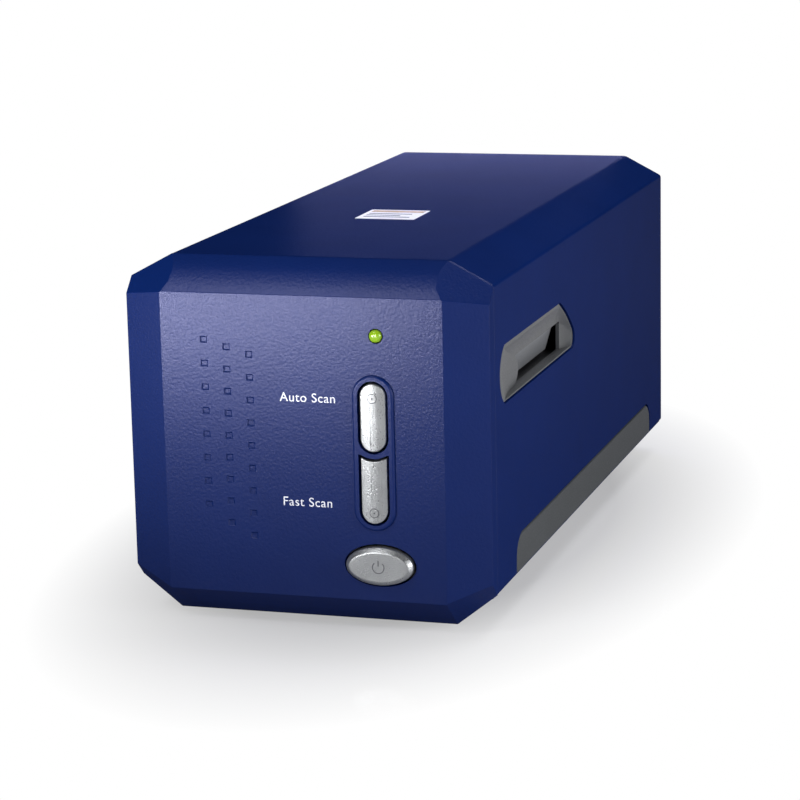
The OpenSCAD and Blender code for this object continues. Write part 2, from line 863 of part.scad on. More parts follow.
module dust_flap() {
  r = flap_t / 2;
  spring_clear = knuckle_r + 0.6;
  color("#3c3d42") at_hinge() rotate([0, flap_lean, 0]) difference() {
    union() {
      rod_y(0, 0, knuckle_r, flap_y0, knuckle_y1);
      block([-r, flap_y0, r - flap_h], [r, knuckle_y1, 0]);
      block([-r, flap_y0, r - flap_h], [r, flap_y1, -spring_clear]);
      rod_y(0, r - flap_h, r, flap_y0, flap_y1);
    }
    rod_y(0, 0, pin_r + running * 1.6, flap_y0 - 1, knuckle_y1 + 1);
  }
}

module flap_pin() {
  color("#b9bbbe") at_hinge()
    rod_y(0, 0, pin_r, slot_y0 - lug_gap - lug_t, slot_y1 + lug_gap + lug_t);
}

module flap_spring() {
  color("#9a9da1") at_hinge() difference() {
    rod_y(0, 0, spring_out, spring_y0, spring_y1);
    rod_y(0, 0, spring_in, spring_y0 - 1, spring_y1 + 1);
  }
}

module rubber_feet() {
  color("#202124") both_sides() for (y = y_feet) post(foot_x, y, foot_r, 0, foot_h + foot_sink);
}

module top_label() {
  color("#e9e6dc") block([-label_w / 2, y_front + label_d - label_w / 2, case_h - label_t],
    [label_w / 2, y_front + label_d + label_w / 2, case_h]);
}

module led_light_pipe() {
  color("#9cd03a") {
    translate([power_x, y_front + led_dome, led_z]) sphere(led_r);
    rod_y(power_x, led_z, led_r, y_front + led_dome, y_board - led_body - led_gap);
    rod_y(power_x, led_z, led_r + led_flange[0], y_flange, y_flange + led_flange[1]);
  }
}

// Face of a button: its rim, and a plateau that stands further out
module cap(proud, step) {
  color("#c8cac9") {
    along_y(y_front - proud + step, y_flange + 0.1) children(0);
    along_y(y_front - proud, y_front - proud + step + 0.1) children(1);
  }
}

module stem(x, z) {
  color("#c8cac9") rod_y(x, z, stem_r, y_stem - 0.1, y_plunger);
}

module power_button() {
  union() {
    cap(power_proud, power_plateau) {
      power_face(0);
      power_face(-power_plateau);
    }
    block([power_x - power_a - flange_reach - 0.4, y_flange, power_z - power_b + 1.5],
      [power_x + power_a + flange_reach + 0.4, y_stem, power_z + power_b - 1.5]);
    stem(power_x, power_z);
  }
}

module scan_flange(z0, z1) {
  inset = scan_r + 0.6;
  block([scan_x - scan_r - flange_reach, y_flange, z0 + inset],
    [scan_x + scan_r + flange_reach, y_stem, z1 - inset]);
}

module upper_scan_button() {
  union() {
    cap(scan_proud, scan_plateau) {
      upper_face(0);
      upper_face(-rim_step);
    }
    scan_flange(upper_z, upper_z + upper_h);
    stem(scan_x, upper_mid);
  }
}

module lower_scan_button() {
  union() {
    cap(scan_proud, scan_plateau) {
      lower_face(0);
      lower_face(-rim_step);
    }
    scan_flange(lower_z, lower_z + lower_h);
    stem(scan_x, lower_mid);
  }
}

module plunger(x, z) {
  color("#2a2a2c")
    rod_y(x, z, plunger_r, y_plunger, y_board - switch_h + plunger_in);
}

module button_board() {
  color("#1f6b3a") difference() {
    block([board_x0, y_board, board_z0], [board_x1, y_board + pcb_t, board_z1]);
    at_board_posts() rod_y(0, 0, small_r + 0.3, y_board - 1, y_board + pcb_t + 1);
  }
}

module tact_switch(x, z) {
  color("#333438") difference() {
    block([x - switch_w / 2, y_board - switch_h, z - switch_w / 2],
      [x + switch_w / 2, y_board, z + switch_w / 2]);
    rod_y(x, z, plunger_r + running, y_board - switch_h - 1,
      y_board - switch_h + plunger_in + button_travel + 0.3);
  }
}

module tact_switches() {
  tact_switch(power_x, power_z);
  tact_switch(scan_x, upper_mid);
  tact_switch(scan_x, lower_mid);
}

module status_led() {
  color("#d8f0a0") block([power_x - led_chip / 2, y_board - led_body, led_z - led_chip / 2],
    [power_x + led_chip / 2, y_board, led_z + led_chip / 2]);
}

// Sheet-metal side wall with the flange that carries the film floor
module chassis_side() {
  block([chassis_x - sheet, y_slot - guide_d, z_deck - join],
    [chassis_x, y_slot + guide_d, z_film - sheet]);
  block([chassis_x - guide_flange, y_slot - guide_d, z_film - 2 * sheet],
    [chassis_x, y_slot + guide_d, z_film - sheet]);
}

module at_guide_screws() {
  both_sides() for (y = [-guide_screw_y, guide_screw_y])
    translate([guide_screw_x, y_slot + y, 0]) children();
}

module chassis() {
  color("#a9adb1") difference() {
    union() {
      block([-chassis_x, y_chassis, z_chassis], [chassis_x, y_deck_end, z_deck]);
      block([-front_plate_x, y_chassis, z_chassis],
        [front_plate_x, y_chassis + sheet, front_plate_h]);
      block([-rear_plate_x, y_plate, z_chassis],
        [rear_plate_x, y_plate + sheet, rod_z + rod_r + rear_plate_up]);
      both_sides() chassis_side();
      both_sides() for (y = main_post_y) post(main_post_x, y, main_post_r, z_deck - join, z_board);
    }
    at_bezel_posts() rod_y(0, 0, pass_r, y_chassis - 1, y_chassis + sheet + 1);
    block([-main_x - board_slack, y_plate - 1, z_deck],
      [main_x + board_slack, y_plate + sheet + 1, car_z - join]);
    both_sides() {
      rod_y(rod_x, rod_z, rod_r + running, y_chassis - 1, y_plate + sheet + 1);
      for (y = base_post_y) post(base_post_x, y, pass_r, z_chassis - 1, z_deck + 1);
      for (y = main_post_y) post(main_post_x, y, small_bite_r, z_deck - 1, z_board + 1);
    }
    at_guide_screws() post(0, 0, small_bite_r, z_film - 3 * sheet, z_film);
    for (y = bracket_y) post(bracket_x + bracket_foot - 2, y_drive + (y - y_drive) / 3,
      small_bite_r, z_chassis - 1, z_deck + 1);
    rod_x(y_idler, belt_z, arbor_r + running, chassis_x - sheet - 1, chassis_x + 1);
  }
}

module window(z0, z1) {
  block([-window_w / 2, y_slot - window_d / 2, z0], [window_w / 2, y_slot + window_d / 2, z1]);
}

module film_guide_lower() {
  color("#1d1e21") difference() {
    union() {
      block([-chassis_x, y_slot - guide_d, z_film - sheet],
        [chassis_x, y_slot + guide_d, z_film]);
      for (y = [-guide_d, guide_d - rail_t])
        block([-rail_x, y_slot + y, z_film - join], [rail_x, y_slot + y + rail_t, z_rail]);
    }
    window(z_film - 2 * sheet, z_film + 1);
    at_guide_screws() post(0, 0, small_r + 0.3, z_film - 2 * sheet, z_film + 1);
  }
}

module film_guide_upper() {
  color("#232428") difference() {
    block([-rail_x, y_slot - guide_d, z_rail], [rail_x, y_slot + guide_d, z_rail + guide_t]);
    window(z_rail - 1, z_rail + guide_t + 1);
  }
}

module guide_rods() {
  color("#c9ccd0") both_sides() rod_y(rod_x, rod_z, rod_r, y_chassis, y_plate + sheet);
}

module carriage_lug(y) {
  block([car_x - join, y, rod_z - lug_h], [lug_w, y + car_lug_d, rod_z + lug_h]);
}

module lens_seat() {
  block([-cradle_x, lens_y, car_z + car_wall - join], [cradle_x, lens_y + lens_l, opt_z]);
}

// A wedge that carries one end of the mirror
module mirror_seat() {
  r = (mirror_l / 2) / sqrt(2);
  off = (mirror_t + 0.01) / sqrt(2);
  along_x(mirror_w / 2 - 3, car_x - 1) polygon([
    [y_home - r - off, car_z + car_wall - join], [y_home - r - off, opt_z + r - off],
    [y_home + r - off, opt_z - r - off], [y_home + r - off, car_z + car_wall - join]]);
}

module carriage_frame() {
  w = car_wall;
  color("#2b2c30") difference() {
    union() {
      difference() {
        block([-car_x, car_y0, car_z], [car_x, car_y1, car_top]);
        block([w - car_x, car_y0 + w, car_z + w], [car_x - w, car_y1 - w, car_top + 1]);
      }
      for (y = right_lugs) carriage_lug(y);
      mirror([1, 0, 0]) carriage_lug(left_lug);
      both_sides() {
        block([column_in, column_y, car_z + 1], [car_x, column_y + column_d, arm_top]);
        mirror_seat();
        block([car_x - w - lamp_ledge, y_home - lamp_d / 2 - 1, arm_z],
          [car_x - w / 2, y_home + lamp_d / 2 + 1, arm_z + w]);
      }
      difference() {
        block([-car_x, car_y0, arm_z], [car_x, column_y + column_d, arm_top]);
        block([w - car_x, car_y0 + w, arm_z - 1], [car_x - w, column_y, arm_top - w]);
      }
      lens_seat();
      for (x = ccd_post_x) for (z = ccd_post_z)
        rod_y(x, z, ccd_post_r, sensor_y + sensor_t + pcb_t, car_y1 - 1);
      block([flag_x, flag_y, z_top + 3], [flag_x + flag_t, flag_y + flag_d, rod_z - lug_h + 0.5]);
    }
    for (y = right_lugs) rod_y(rod_x, rod_z, bush_r + running, y - 1, y + car_lug_d + 1);
    rod_y(-rod_x, rod_z, bush_r + running, left_lug - 1, left_lug + car_lug_d + 1);
    rod_y(0, opt_z, lens_r + running, lens_y - 1, lens_y + lens_l + 1);
    block([-10, car_y1 - 3, opt_z + 8], [10, car_y1 + 1, opt_z + 14]);
    for (x = [-cradle_x + 2, cradle_x - 2])
      post(x, lens_y + lens_l / 2, small_bite_r, opt_z - 8, opt_z + 1);
    for (x = ccd_post_x) for (z = ccd_post_z)
      rod_y(x, z, small_bite_r, sensor_y, car_y1 - 3);
    post(clamp_screw_x, clamp_y + 3, small_bite_r, rod_z + lug_h - clamp_bite - 0.1, rod_z + lug_h + 1);
  }
}

module carriage_lid() {
  notch = column_in - fit;
  color("#303136") difference() {
    block([-car_x, car_y0, car_top], [car_x, car_y1, car_top + lid_t]);
    block([-slit_w / 2, y_home - slit_d / 2, car_top - 1],
      [slit_w / 2, y_home + slit_d / 2, car_top + lid_t + 1]);
    both_sides() block([notch, column_y - fit, car_top - 1],
      [car_x + 1, column_y + column_d + fit, car_top + lid_t + 1]);
  }
}

module bushing(x, y) {
  difference() {
    rod_y(x, rod_z, bush_r, y, y + car_lug_d);
    rod_y(x, rod_z, rod_r + running, y - 1, y + car_lug_d + 1);
  }
}

module slide_bushings() {
  color("#b08d4a") {
    for (y = right_lugs) bushing(rod_x, y);
    bushing(-rod_x, left_lug);
  }
}

module fold_mirror() {
  color("#cfd8df") translate([0, y_home, opt_z]) rotate([-45, 0, 0])
    block([-mirror_w / 2, -mirror_l / 2, -mirror_t], [mirror_w / 2, mirror_l / 2, 0]);
}

module lens_barrel() {
  bore = lens_r - lens_wall;
  color("#1a1b1d") difference() {
    rod_y(0, opt_z, lens_r, lens_y, lens_y + lens_l);
    rod_y(0, opt_z, bore, lens_y - 1, lens_y + lens_l + 1);
  }
}

// One lens element, rounded on both faces
module lens_element(y) {
  r = lens_r - lens_wall - running;
  curve = r * 2;
  sag = curve - sqrt(curve * curve - r * r);
  translate([0, y, opt_z]) rotate([-90, 0, 0]) intersection() {
    translate([0, 0, -curve + sag + element_edge]) sphere(curve);
    translate([0, 0, curve - sag - element_edge]) sphere(curve);
    translate([0, 0, -5]) cylinder(r = r, h = 10);
  }
}

module lens_glass() {
  color("#bcd6e2") {
    lens_element(lens_y + element_in);
    lens_element(lens_y + lens_l - element_in);
  }
}

module lens_clamp() {
  y0 = lens_y + (lens_l - clamp_d) / 2;
  color("#8f9397") difference() {
    block([-cradle_x, y0, opt_z], [cradle_x, y0 + clamp_d, opt_z + lens_r + clamp_up]);
    rod_y(0, opt_z, lens_r + running, y0 - 1, y0 + clamp_d + 1);
    for (x = [-cradle_x, cradle_x]) block([x - 3.6, y0 - 1, opt_z + clamp_ear],
      [x + 3.6, y0 + clamp_d + 1, opt_z + lens_r + clamp_up + 1]);
    for (x = [-cradle_x + 2, cradle_x - 2])
      post(x, lens_y + lens_l / 2, small_r + 0.2, opt_z - 1, opt_z + 3);
  }
}

module ccd_board() {
  y0 = sensor_y + sensor_t;
  color("#1f6b3a") difference() {
    block([-ccd_x, y0, ccd_z[0]], [ccd_x, y0 + pcb_t, ccd_z[1]]);
    for (x = ccd_post_x) for (z = ccd_post_z)
      rod_y(x, z, small_r + 0.3, y0 - 1, y0 + pcb_t + 1);
  }
}

module ccd_sensor() {
  color("#3b3550") block([-sensor_w / 2, sensor_y, opt_z - sensor_h / 2],
    [sensor_w / 2, sensor_y + sensor_t, opt_z + sensor_h / 2]);
}

module lamp_board() {
  z1 = arm_top - car_wall;
  color("#e8e9e2") {
    block([-car_x + car_wall + lamp_end, y_home - lamp_d / 2, z1 - pcb_t],
      [car_x - car_wall - lamp_end, y_home + lamp_d / 2, z1]);
    for (i = [-3.5:3.5]) translate([i * lamp_pitch, y_home, z1 - pcb_t - lamp_chip[1]])
      block([-lamp_chip[0] / 2, -lamp_chip[0] / 2, 0],
        [lamp_chip[0] / 2, lamp_chip[0] / 2, lamp_chip[1] + 0.1]);
  }
}

module lamp_diffuser() {
  color("#f2f2ee") block([-car_x + car_wall + fit, y_home - lamp_d / 2, arm_z + car_wall],
    [car_x - car_wall - fit, y_home + lamp_d / 2, arm_z + car_wall + diffuser_t]);
}

module belt_clamp() {
  z0 = rod_z + lug_h;
  z_belt = belt_z + pulley_r;
  gap = 0.1;
  color("#3f4147") difference() {
    union() {
      block([clamp_x0, clamp_y, z0], [belt_x0 + belt_w + 0.7, clamp_y + car_lug_d, z0 + clamp_t]);
      block([belt_x0 - 1.2, clamp_y, z0], [belt_x0 + belt_w + 0.7, clamp_y + car_lug_d,
        z_belt + belt_t + 1.5]);
    }
    block([belt_x0 - gap, clamp_y - 1, z_belt - gap],
      [belt_x0 + belt_w + gap, clamp_y + car_lug_d + 1, z_belt + belt_t + gap]);
    post(clamp_screw_x, clamp_y + 3, small_r + 0.2, z0 - 1, z0 + 2);
  }
}

module belt_loop(r) {
  translate([y_drive, belt_z]) circle(r);
  translate([y_idler, belt_z]) circle(r);
  translate([y_idler, belt_z - r]) square([y_drive - y_idler, 2 * r]);
}

module timing_belt() {
  color("#18181a") along_x(belt_x0, belt_x0 + belt_w) difference() {
    belt_loop(pulley_r + belt_t);
    belt_loop(pulley_r);
  }
}

module pulley(y) {
  color("#d9dadb") difference() {
    union() {
      rod_x(y, belt_z, pulley_r - 0.1, pulley_x0, pulley_x1);
      rod_x(y, belt_z, rim_r, pulley_x0 - rim_w, pulley_x0);
      rod_x(y, belt_z, rim_r, pulley_x1, pulley_x1 + rim_w);
    }
    rod_x(y, belt_z, arbor_r + running, pulley_x0 - 2, pulley_x1 + 2);
  }
}

module drive_pulley() {
  pulley(y_drive);
}

module idler_pulley() {
  pulley(y_idler);
}

module drive_gear() {
  color("#e6e2d2") difference() {
    union() {
      along_x(gear_x, gear_x + gear_w) translate([y_drive, belt_z])
        polygon(gear_outline(gear_n, atan2(motor_dz, motor_dy)));
      rod_x(y_drive, belt_z, hub_r, gear_x, pulley_x0 - rim_w);
    }
    rod_x(y_drive, belt_z, arbor_r + running, gear_x - 1, pulley_x0);
  }
}

module pulley_pins() {
  end = pulley_x1 + rim_w + 0.4;
  color("#c9ccd0") {
    rod_x(y_drive, belt_z, arbor_r, bracket_x, end);
    rod_x(y_idler, belt_z, arbor_r, pulley_x0 - rim_w - 0.4, chassis_x);
  }
}

module motor_body() {
  color("#8d9195") difference() {
    union() {
      rod_x(y_motor, z_motor, motor_r, bracket_x - motor_l, bracket_x);
      rod_x(y_motor, z_motor, motor_nose_r, bracket_x - 1, bracket_x + bracket_t);
    }
    rod_x(y_motor, z_motor, shaft_r + running, bracket_x - shaft_in - 0.3, bracket_x + 3);
  }
}

module motor_pinion() {
  color("#d8c68a") union() {
    rod_x(y_motor, z_motor, shaft_r, bracket_x - shaft_in, gear_x + gear_w + 0.8);
    along_x(gear_x - 0.2, gear_x + gear_w + 0.2) translate([y_motor, z_motor])
      polygon(gear_outline(pinion_n, atan2(-motor_dz, -motor_dy) + 180 / pinion_n));
  }
}

module motor_bracket() {
  color("#a9adb1") difference() {
    union() {
      block([bracket_x, bracket_y[0], z_deck],
        [bracket_x + bracket_t, bracket_y[1], z_motor + motor_r + motor_edge]);
      block([bracket_x, bracket_y[0], z_deck],
        [bracket_x + bracket_foot, y_deck_end, z_deck + sheet]);
    }
    rod_x(y_motor, z_motor, motor_nose_r + running, bracket_x - 1, bracket_x + 3);
    rod_x(y_drive, belt_z, arbor_r + running, bracket_x - 1, bracket_x + 3);
    for (y = bracket_y) post(bracket_x + bracket_foot - 2, y_drive + (y - y_drive) / 3,
      small_r + 0.3, z_deck - 1, z_deck + sheet + 1);
  }
}

module main_board() {
  color("#1f6b3a") difference() {
    block([-main_x, main_y0, z_board], [main_x, main_y1, z_top]);
    both_sides() for (y = main_post_y)
      post(main_post_x, y, small_r + 0.3, z_board - 1, z_top + 1);
  }
}

module chip(x, y, w, d) {
  block([x - w / 2, y - d / 2, z_top], [x + w / 2, y + d / 2, z_top + chip_t]);
}

module board_chips() {
  color("#1c1c1e") {
    chip(-8, main_y0 + 26, 20, 20);
    chip(18, main_y0 + 22, 10, 16);
    chip(13.5 - main_x, main_y0 + 48, 8, 12);
    chip(10, main_y0 + 52, 12, 8);
    chip(-4, y_plate - 10, 18, 6);
  }
}

module capacitors() {
  color("#2c3a66") {
    for (x = [0, 10])
      post(3.5 - main_x + x, y_plate + 12 - x / 2, cap_size[0], z_top, z_top + cap_size[1]);
    post(main_x - 9.5, y_plate + 24, small_cap[0], z_top, z_top + small_cap[1]);
  }
}

module usb_port() {
  y1 = y_panel + panel_t;
  h = socket_h;
  color("#c9ccd0") difference() {
    block([usb_x - usb_w / 2, y1 - socket_d, z_top], [usb_x + usb_w / 2, y1, z_top + h]);
    block([usb_x - usb_w / 2 + usb_wall[0], y1 - socket_d + usb_back, z_top + usb_wall[1]],
      [usb_x + usb_w / 2 - usb_wall[0], y1 + 1, z_top + h - usb_wall[1]]);
  }
  color("#f0f0ee") block([usb_x - usb_tongue[0] / 2, y1 - socket_d + usb_back,
      z_top + (h - usb_tongue[1]) / 2],
    [usb_x + usb_tongue[0] / 2, y1 - 1.5, z_top + (h + usb_tongue[1]) / 2]);
}

module dc_jack() {
  y1 = y_panel + panel_t;
  z = z_top + socket_h / 2;
  color("#18181a") difference() {
    block([dc_x - dc_w / 2, y1 - socket_d, z_top], [dc_x + dc_w / 2, y1, z_top + socket_h]);
    rod_y(dc_x, z, dc_r, y1 - socket_d + dc_back, y1 + 1);
  }
  color("#d0d2d4") rod_y(dc_x, z, dc_pin_r, y1 - socket_d + dc_back, y1 - 1);
}

// Flat cable from the sensor board over the rear plate to the main board
module ribbon_cable() {
  t = 0.3;
  y0 = sensor_y + sensor_t + pcb_t;
  z0 = opt_z + 11;
  y1 = y_plate + 8;
  path = concat([[y0, z0]], arc([y1 - 6, z0 - 6], 6, 90, 0, 8), [[y1, z_top]]);
  back = concat([[y1 - t, z_top]], arc([y1 - 6, z0 - 6], 6 - t, 0, 90, 8), [[y0, z0 - t]]);
  color("#d9d9d2") along_x(-8, 8) polygon(concat(path, back));
}

module home_sensor() {
  x0 = flag_x - flag_gap - 1.5;
  x1 = flag_x + flag_t + flag_gap;
  y0 = flag_y - 0.5;
  y1 = flag_y + flag_d + 0.5;
  color("#1c1c1e") union() {
    block([x0, y0, z_top], [min(x1 + 1.5, main_x), y1, z_top + 2]);
    block([x0, y0, z_top], [x0 + 1.5, y1, z_top + 8]);
    block([x1, y0, z_top], [min(x1 + 1.5, main_x), y1, z_top + 8]);
  }
}

module case_screws() {
  color("#3a3c40") both_sides() for (y = boss_y)
    translate([boss_x, y, head_z]) screw(screw_r, boss_z - head_z + boss_bite, head_r, case_head_h);
}

module inner_screws() {
  y_head = y_chassis + sheet;
  color("#8d9195") {
    at_bezel_posts() translate([0, y_head, 0]) rotate([90, 0, 0])
      screw(screw_r, sheet + bezel_bite, head_r, head_h);
    at_board_posts() translate([0, y_board + pcb_t, 0]) rotate([90, 0, 0])
      screw(small_r, pcb_t + board_bite, small_head_r, small_head_h);
    both_sides() {
      for (y = base_post_y) translate([base_post_x, y, z_deck]) rotate([180, 0, 0])
        screw(screw_r, z_deck - z_floor - 1, head_r, head_h);
      for (y = main_post_y) translate([main_post_x, y, z_top]) rotate([180, 0, 0])
        screw(small_r, pcb_t + board_up - 0.5, small_head_r, small_head_h);
    }
    at_guide_screws() translate([0, 0, z_film]) rotate([180, 0, 0])
      screw(small_r, 2 * sheet, small_head_r, small_head_h);
    for (y = bracket_y)
      translate([bracket_x + bracket_foot - 2, y_drive + (y - y_drive) / 3, z_deck + sheet])
        rotate([180, 0, 0]) screw(small_r, 2 * sheet, small_head_r, small_head_h);
  }
}

module carriage_screws() {
  color("#8d9195") {
    for (x = [-cradle_x + 2, cradle_x - 2])
      translate([x, lens_y + lens_l / 2, opt_z + clamp_ear]) rotate([180, 0, 0])
        screw(small_r, clamp_ear + 6, tiny_head_r, tiny_head_h);
    for (x = ccd_post_x) for (z = ccd_post_z)
      translate([x, sensor_y + sensor_t, z]) rotate([-90, 0, 0])
        screw(small_r, pcb_t + 4, tiny_head_r, tiny_head_h);
    translate([clamp_screw_x, clamp_y + 3, rod_z + lug_h + clamp_t]) rotate([180, 0, 0])
      screw(small_r, clamp_t + clamp_bite, tiny_head_r, tiny_head_h);
  }
}

front_bezel();
top_cover();
base_pan();
rear_panel();
side_strip();  // side_strip_right
mirror([1, 0, 0]) side_strip();  // side_strip_left
slot_bezel();  // slot_bezel_right
mirror([1, 0, 0]) slot_bezel();  // slot_bezel_left
dust_flap();  // dust_flap_right
mirror([1, 0, 0]) dust_flap();  // dust_flap_left
flap_pin();  // flap_pin_right
mirror([1, 0, 0]) flap_pin();  // flap_pin_left
flap_spring();  // flap_spring_right
mirror([1, 0, 0]) flap_spring();  // flap_spring_left
rubber_feet();
top_label();
led_light_pipe();
power_button();
plunger(power_x, power_z);  // power_plunger
upper_scan_button();
plunger(scan_x, upper_mid);  // upper_plunger
lower_scan_button();
plunger(scan_x, lower_mid);  // lower_plunger
button_board();
tact_switches();
status_led();
chassis();
film_guide_lower();
film_guide_upper();
guide_rods();
carriage_frame();
carriage_lid();
slide_bushings();
fold_mirror();
lens_barrel();
lens_glass();
lens_clamp();
ccd_board();
ccd_sensor();
lamp_board();
lamp_diffuser();
belt_clamp();
timing_belt();
drive_pulley();
drive_gear();
idler_pulley();
pulley_pins();
motor_body();
motor_pinion();
motor_bracket();
main_board();
board_chips();
capacitors();
usb_port();
dc_jack();
ribbon_cable();
home_sensor();
case_screws();
inner_screws();
carriage_screws();
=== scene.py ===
"""A desktop film scanner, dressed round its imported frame.

Sizes are in millimetres, in the frame of part.scad: the front faces -Y and the
origin is on the table under the middle of the scanner.
"""
import json
import math
import bpy
from mathutils import Matrix, Vector


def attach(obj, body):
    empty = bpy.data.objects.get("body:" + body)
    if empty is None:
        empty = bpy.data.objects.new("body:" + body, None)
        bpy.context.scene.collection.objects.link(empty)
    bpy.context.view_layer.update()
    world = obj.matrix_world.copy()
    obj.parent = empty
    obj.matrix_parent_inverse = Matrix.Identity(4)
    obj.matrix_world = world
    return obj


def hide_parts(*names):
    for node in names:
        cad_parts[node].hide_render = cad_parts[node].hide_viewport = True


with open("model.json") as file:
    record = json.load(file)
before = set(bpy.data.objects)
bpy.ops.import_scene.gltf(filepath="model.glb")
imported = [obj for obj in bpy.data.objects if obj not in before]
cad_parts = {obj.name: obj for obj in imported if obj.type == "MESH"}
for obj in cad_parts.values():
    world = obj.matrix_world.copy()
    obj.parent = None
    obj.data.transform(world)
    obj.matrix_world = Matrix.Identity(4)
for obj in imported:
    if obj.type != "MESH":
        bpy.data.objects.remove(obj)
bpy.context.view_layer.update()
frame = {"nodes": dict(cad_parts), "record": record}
bpy.ops.object.select_all(action="DESELECT")

MM = 0.001

# ---------------- sizes

# Casing: half its width, its top, its underside above the table, and its wall
HALF_W, CASE_H, FOOT_H, WALL = 60.0, 118.5, 1.5, 2.8
# From front to back: face, the face's inner side, the bezel's seam, the cover's edge and the rear
Y_FRONT, Y_WALL, Y_SEAM, Y_CASE, Y_REAR = -133.4, -130.6, -122.6, -122.2, 136.0
# The seam between cover and base
Z_SIDE = 11.9
# How far each chamfer runs across and rises
TOP_CHAMFER, BASE_CHAMFER = (14.2, 7.5), (13.2, 10.4)
# Radii of the outer edges, of the edges at the seams and of the bezel's edge at its seam
EDGE_R, SEAM_R, BEZEL_SEAM_R = 0.9, 0.3, 0.25

# Flat face of the bezel: half its width, its lower and upper edge, the corner facets' run back
FACE_X, FACE_Z0, FACE_Z1, SIDE_BAND = 46.5, 10.8, 108.0, 5.4
# How far before the seam the slopes and the corners end, and how far the corners cut into the face
SLOPE_STOP, CORNER_STOP, CORNER_BITE = 0.3, 0.45, 0.4
# The slope above the face bulges a little, in this many strips
BROW_BULGE, BROW_STEPS = 0.9, 6
# Tongue inside the cover: how far its two sides lie within the wall, and its ends from the seam
TONGUE_OUT, TONGUE_IN, TONGUE_Y = 0.2, 1.7, (-2.5, 4)
# Screw posts behind the face: their places in X and Z, their radius and where they end
CASE_POSTS = ((-42.5, 42.5), (20, 100), 3.5, -103)
BOARD_POSTS = ((13, 35), (34, 88), 3, -115.4)

# Dimples: half their width and height, their depth, and their floor's share of their mouth
DIMPLE_HALF_W, DIMPLE_HALF_H, DIMPLE_DEPTH, DIMPLE_FLOOR = 1.5, 1.4, 0.42, (0.53, 1, 0.5)
# The first dimple, the steps to the next column, and each column's pitch and count
DIMPLE_X, DIMPLE_Z, COLUMN_STEP, COLUMN_DROP = -32.1, 93, 7.5, 2.15
DIMPLE_COLUMNS = ((7.66, 8), (7.15, 9), (7.36, 9))

# Power button: its middle, half its width and height, how far it stands out, and its rim
POWER_X, POWER_Z, POWER_HALF_W, POWER_HALF_H = 24.8, 22.4, 11.2, 6.3
POWER_PROUD, POWER_RIM = 2.54, 1.4
# Long buttons: their middle, half their width, how far they stand out, and the gap round a button
SCAN_X, SCAN_R, SCAN_PROUD, GAP = 23.6, 4.35, 1.5, 0.65
# Their lower and upper ends, and how deep the lower one's top is hollowed
UPPER, LOWER, LOWER_SAG = (59.2, 81.2), (36.1, 57.6), 1.2
# The collar round both, its width and how far it stands out
COLLAR_W, COLLAR_T = 1.8, 1.0
# A long cap's curve: radius, how far left its crest lies, and the cuts' distance and half their count
CROWN_R, CROWN_SHIFT, CROWN_CUT, CROWN_CUTS = 11.0, 0.8, 0.85, 4
# How much slimmer the caps are than their solids, all round
CAP_SLIM, POWER_SLIM = 0.12, 0.1
# The two grooves down a long cap: half their distance, half their width and their depth
GROOVE_X, GROOVE_HALF, GROOVE_DEPTH = 0.65, 0.09, 0.16
# Printed rings and their lines: on the long caps, and the power sign
ICON_R, ICON_LINE, SIGN_R, SIGN_LINE = 1.45, 0.3, 1.9, 0.36
# Flange behind a cap: thickness; the stem's radius, its middle and its length
FLANGE_T, STEM_R, STEM_Y, STEM_L = 1.2, 2, -125.1, 8.8
# A cap's back end
CAP_BACK = Y_FRONT + WALL + 0.15
# Lamp window: its middle, its radius, the gap round it and its two ends
LAMP_X, LAMP_Z, LAMP_R, LAMP_GAP, LAMP_Y = 24.8, 96.0, 2.08, 0.3, (Y_FRONT - 1.3, -117.2)
# Legends: letter height and left end; piece, words and foot of each
LEGEND_H, LEGEND_X = 2.9, -7.2
LEGENDS = (("upper_legend", "Auto Scan", 74.2), ("lower_legend", "Fast Scan", 40.4))

# Film slot: the opening's middle, half its length, its lower and upper edge
Y_SLOT, SLOT_HALF, SLOT_Z0, SLOT_Z1 = -56.1, 30.0, 72.2, 82.0
# The surround's rim, the opening's edge in it, and its inner side
X_RIM, X_MOUTH, X_FLANGE = 59.4, 57.2, 56.0
# How far the surround reaches past the opening: below, above, in front and behind
RIM_BELOW, RIM_ABOVE, RIM_FRONT, RIM_REAR = 0.9, 8, 30.2, 11.3
# Its front arc's extra radius, its crest's end and bulge, and its rear tip's radius and angles
FRONT_FLAT, CREST_END, CREST_BULGE, TIP_R, TIP_LEAN, TIP_TURN = 0.85, 9.3, 1.8, 3.6, 48, 0.14
# Points on its front arc, its crest and its tip, and rings down the scoop
SLOT_STEPS, SCOOP_STEPS = (28, 10, 12), 7
# Flap: its pin's place and hole; its lean in degrees, height, thickness and knuckle's radius
HINGE_X, HINGE_Z, PIN_HOLE = 55.2, 84.8, 0.83
FLAP_LEAN, FLAP_H, FLAP_T, KNUCKLE_R = 16, 13.2, 1.5, 1.7
# The leaf's and the knuckle's ends along the pin, and the spring's
FLAP_Y, KNUCKLE_END, SPRING_Y = (-29.7, 29.7), 24.0, (24.4, 30.6)
# The spring's turns, its wire and its radius
SPRING_TURNS, SPRING_WIRE, SPRING_R = 9, 0.28, 1.25

# Side strip: its ends, top, thickness, corner radius, round edge and the gap round it
STRIP_Y, STRIP_TOP, STRIP_T, STRIP_R = (-97.9, 112.6), 24.3, 1.8, 8.0
STRIP_EDGE, STRIP_GAP = 1.4, 0.45
# Sticker: its middle, width, thickness and corner radius, and the thickness of all prints
LABEL_Y, LABEL_W, LABEL_T, LABEL_R, PRINT_T = -31.4, 21.2, 0.2, 1.0, 0.03
# Feet: places, radius and thickness, and the gap round them in the base
FEET = [(x, y) for x in (-38, 38) for y in (-109.4, 112.0)]
FOOT_R, FOOT_T, FOOT_GAP = 6, 2.5, 0.05
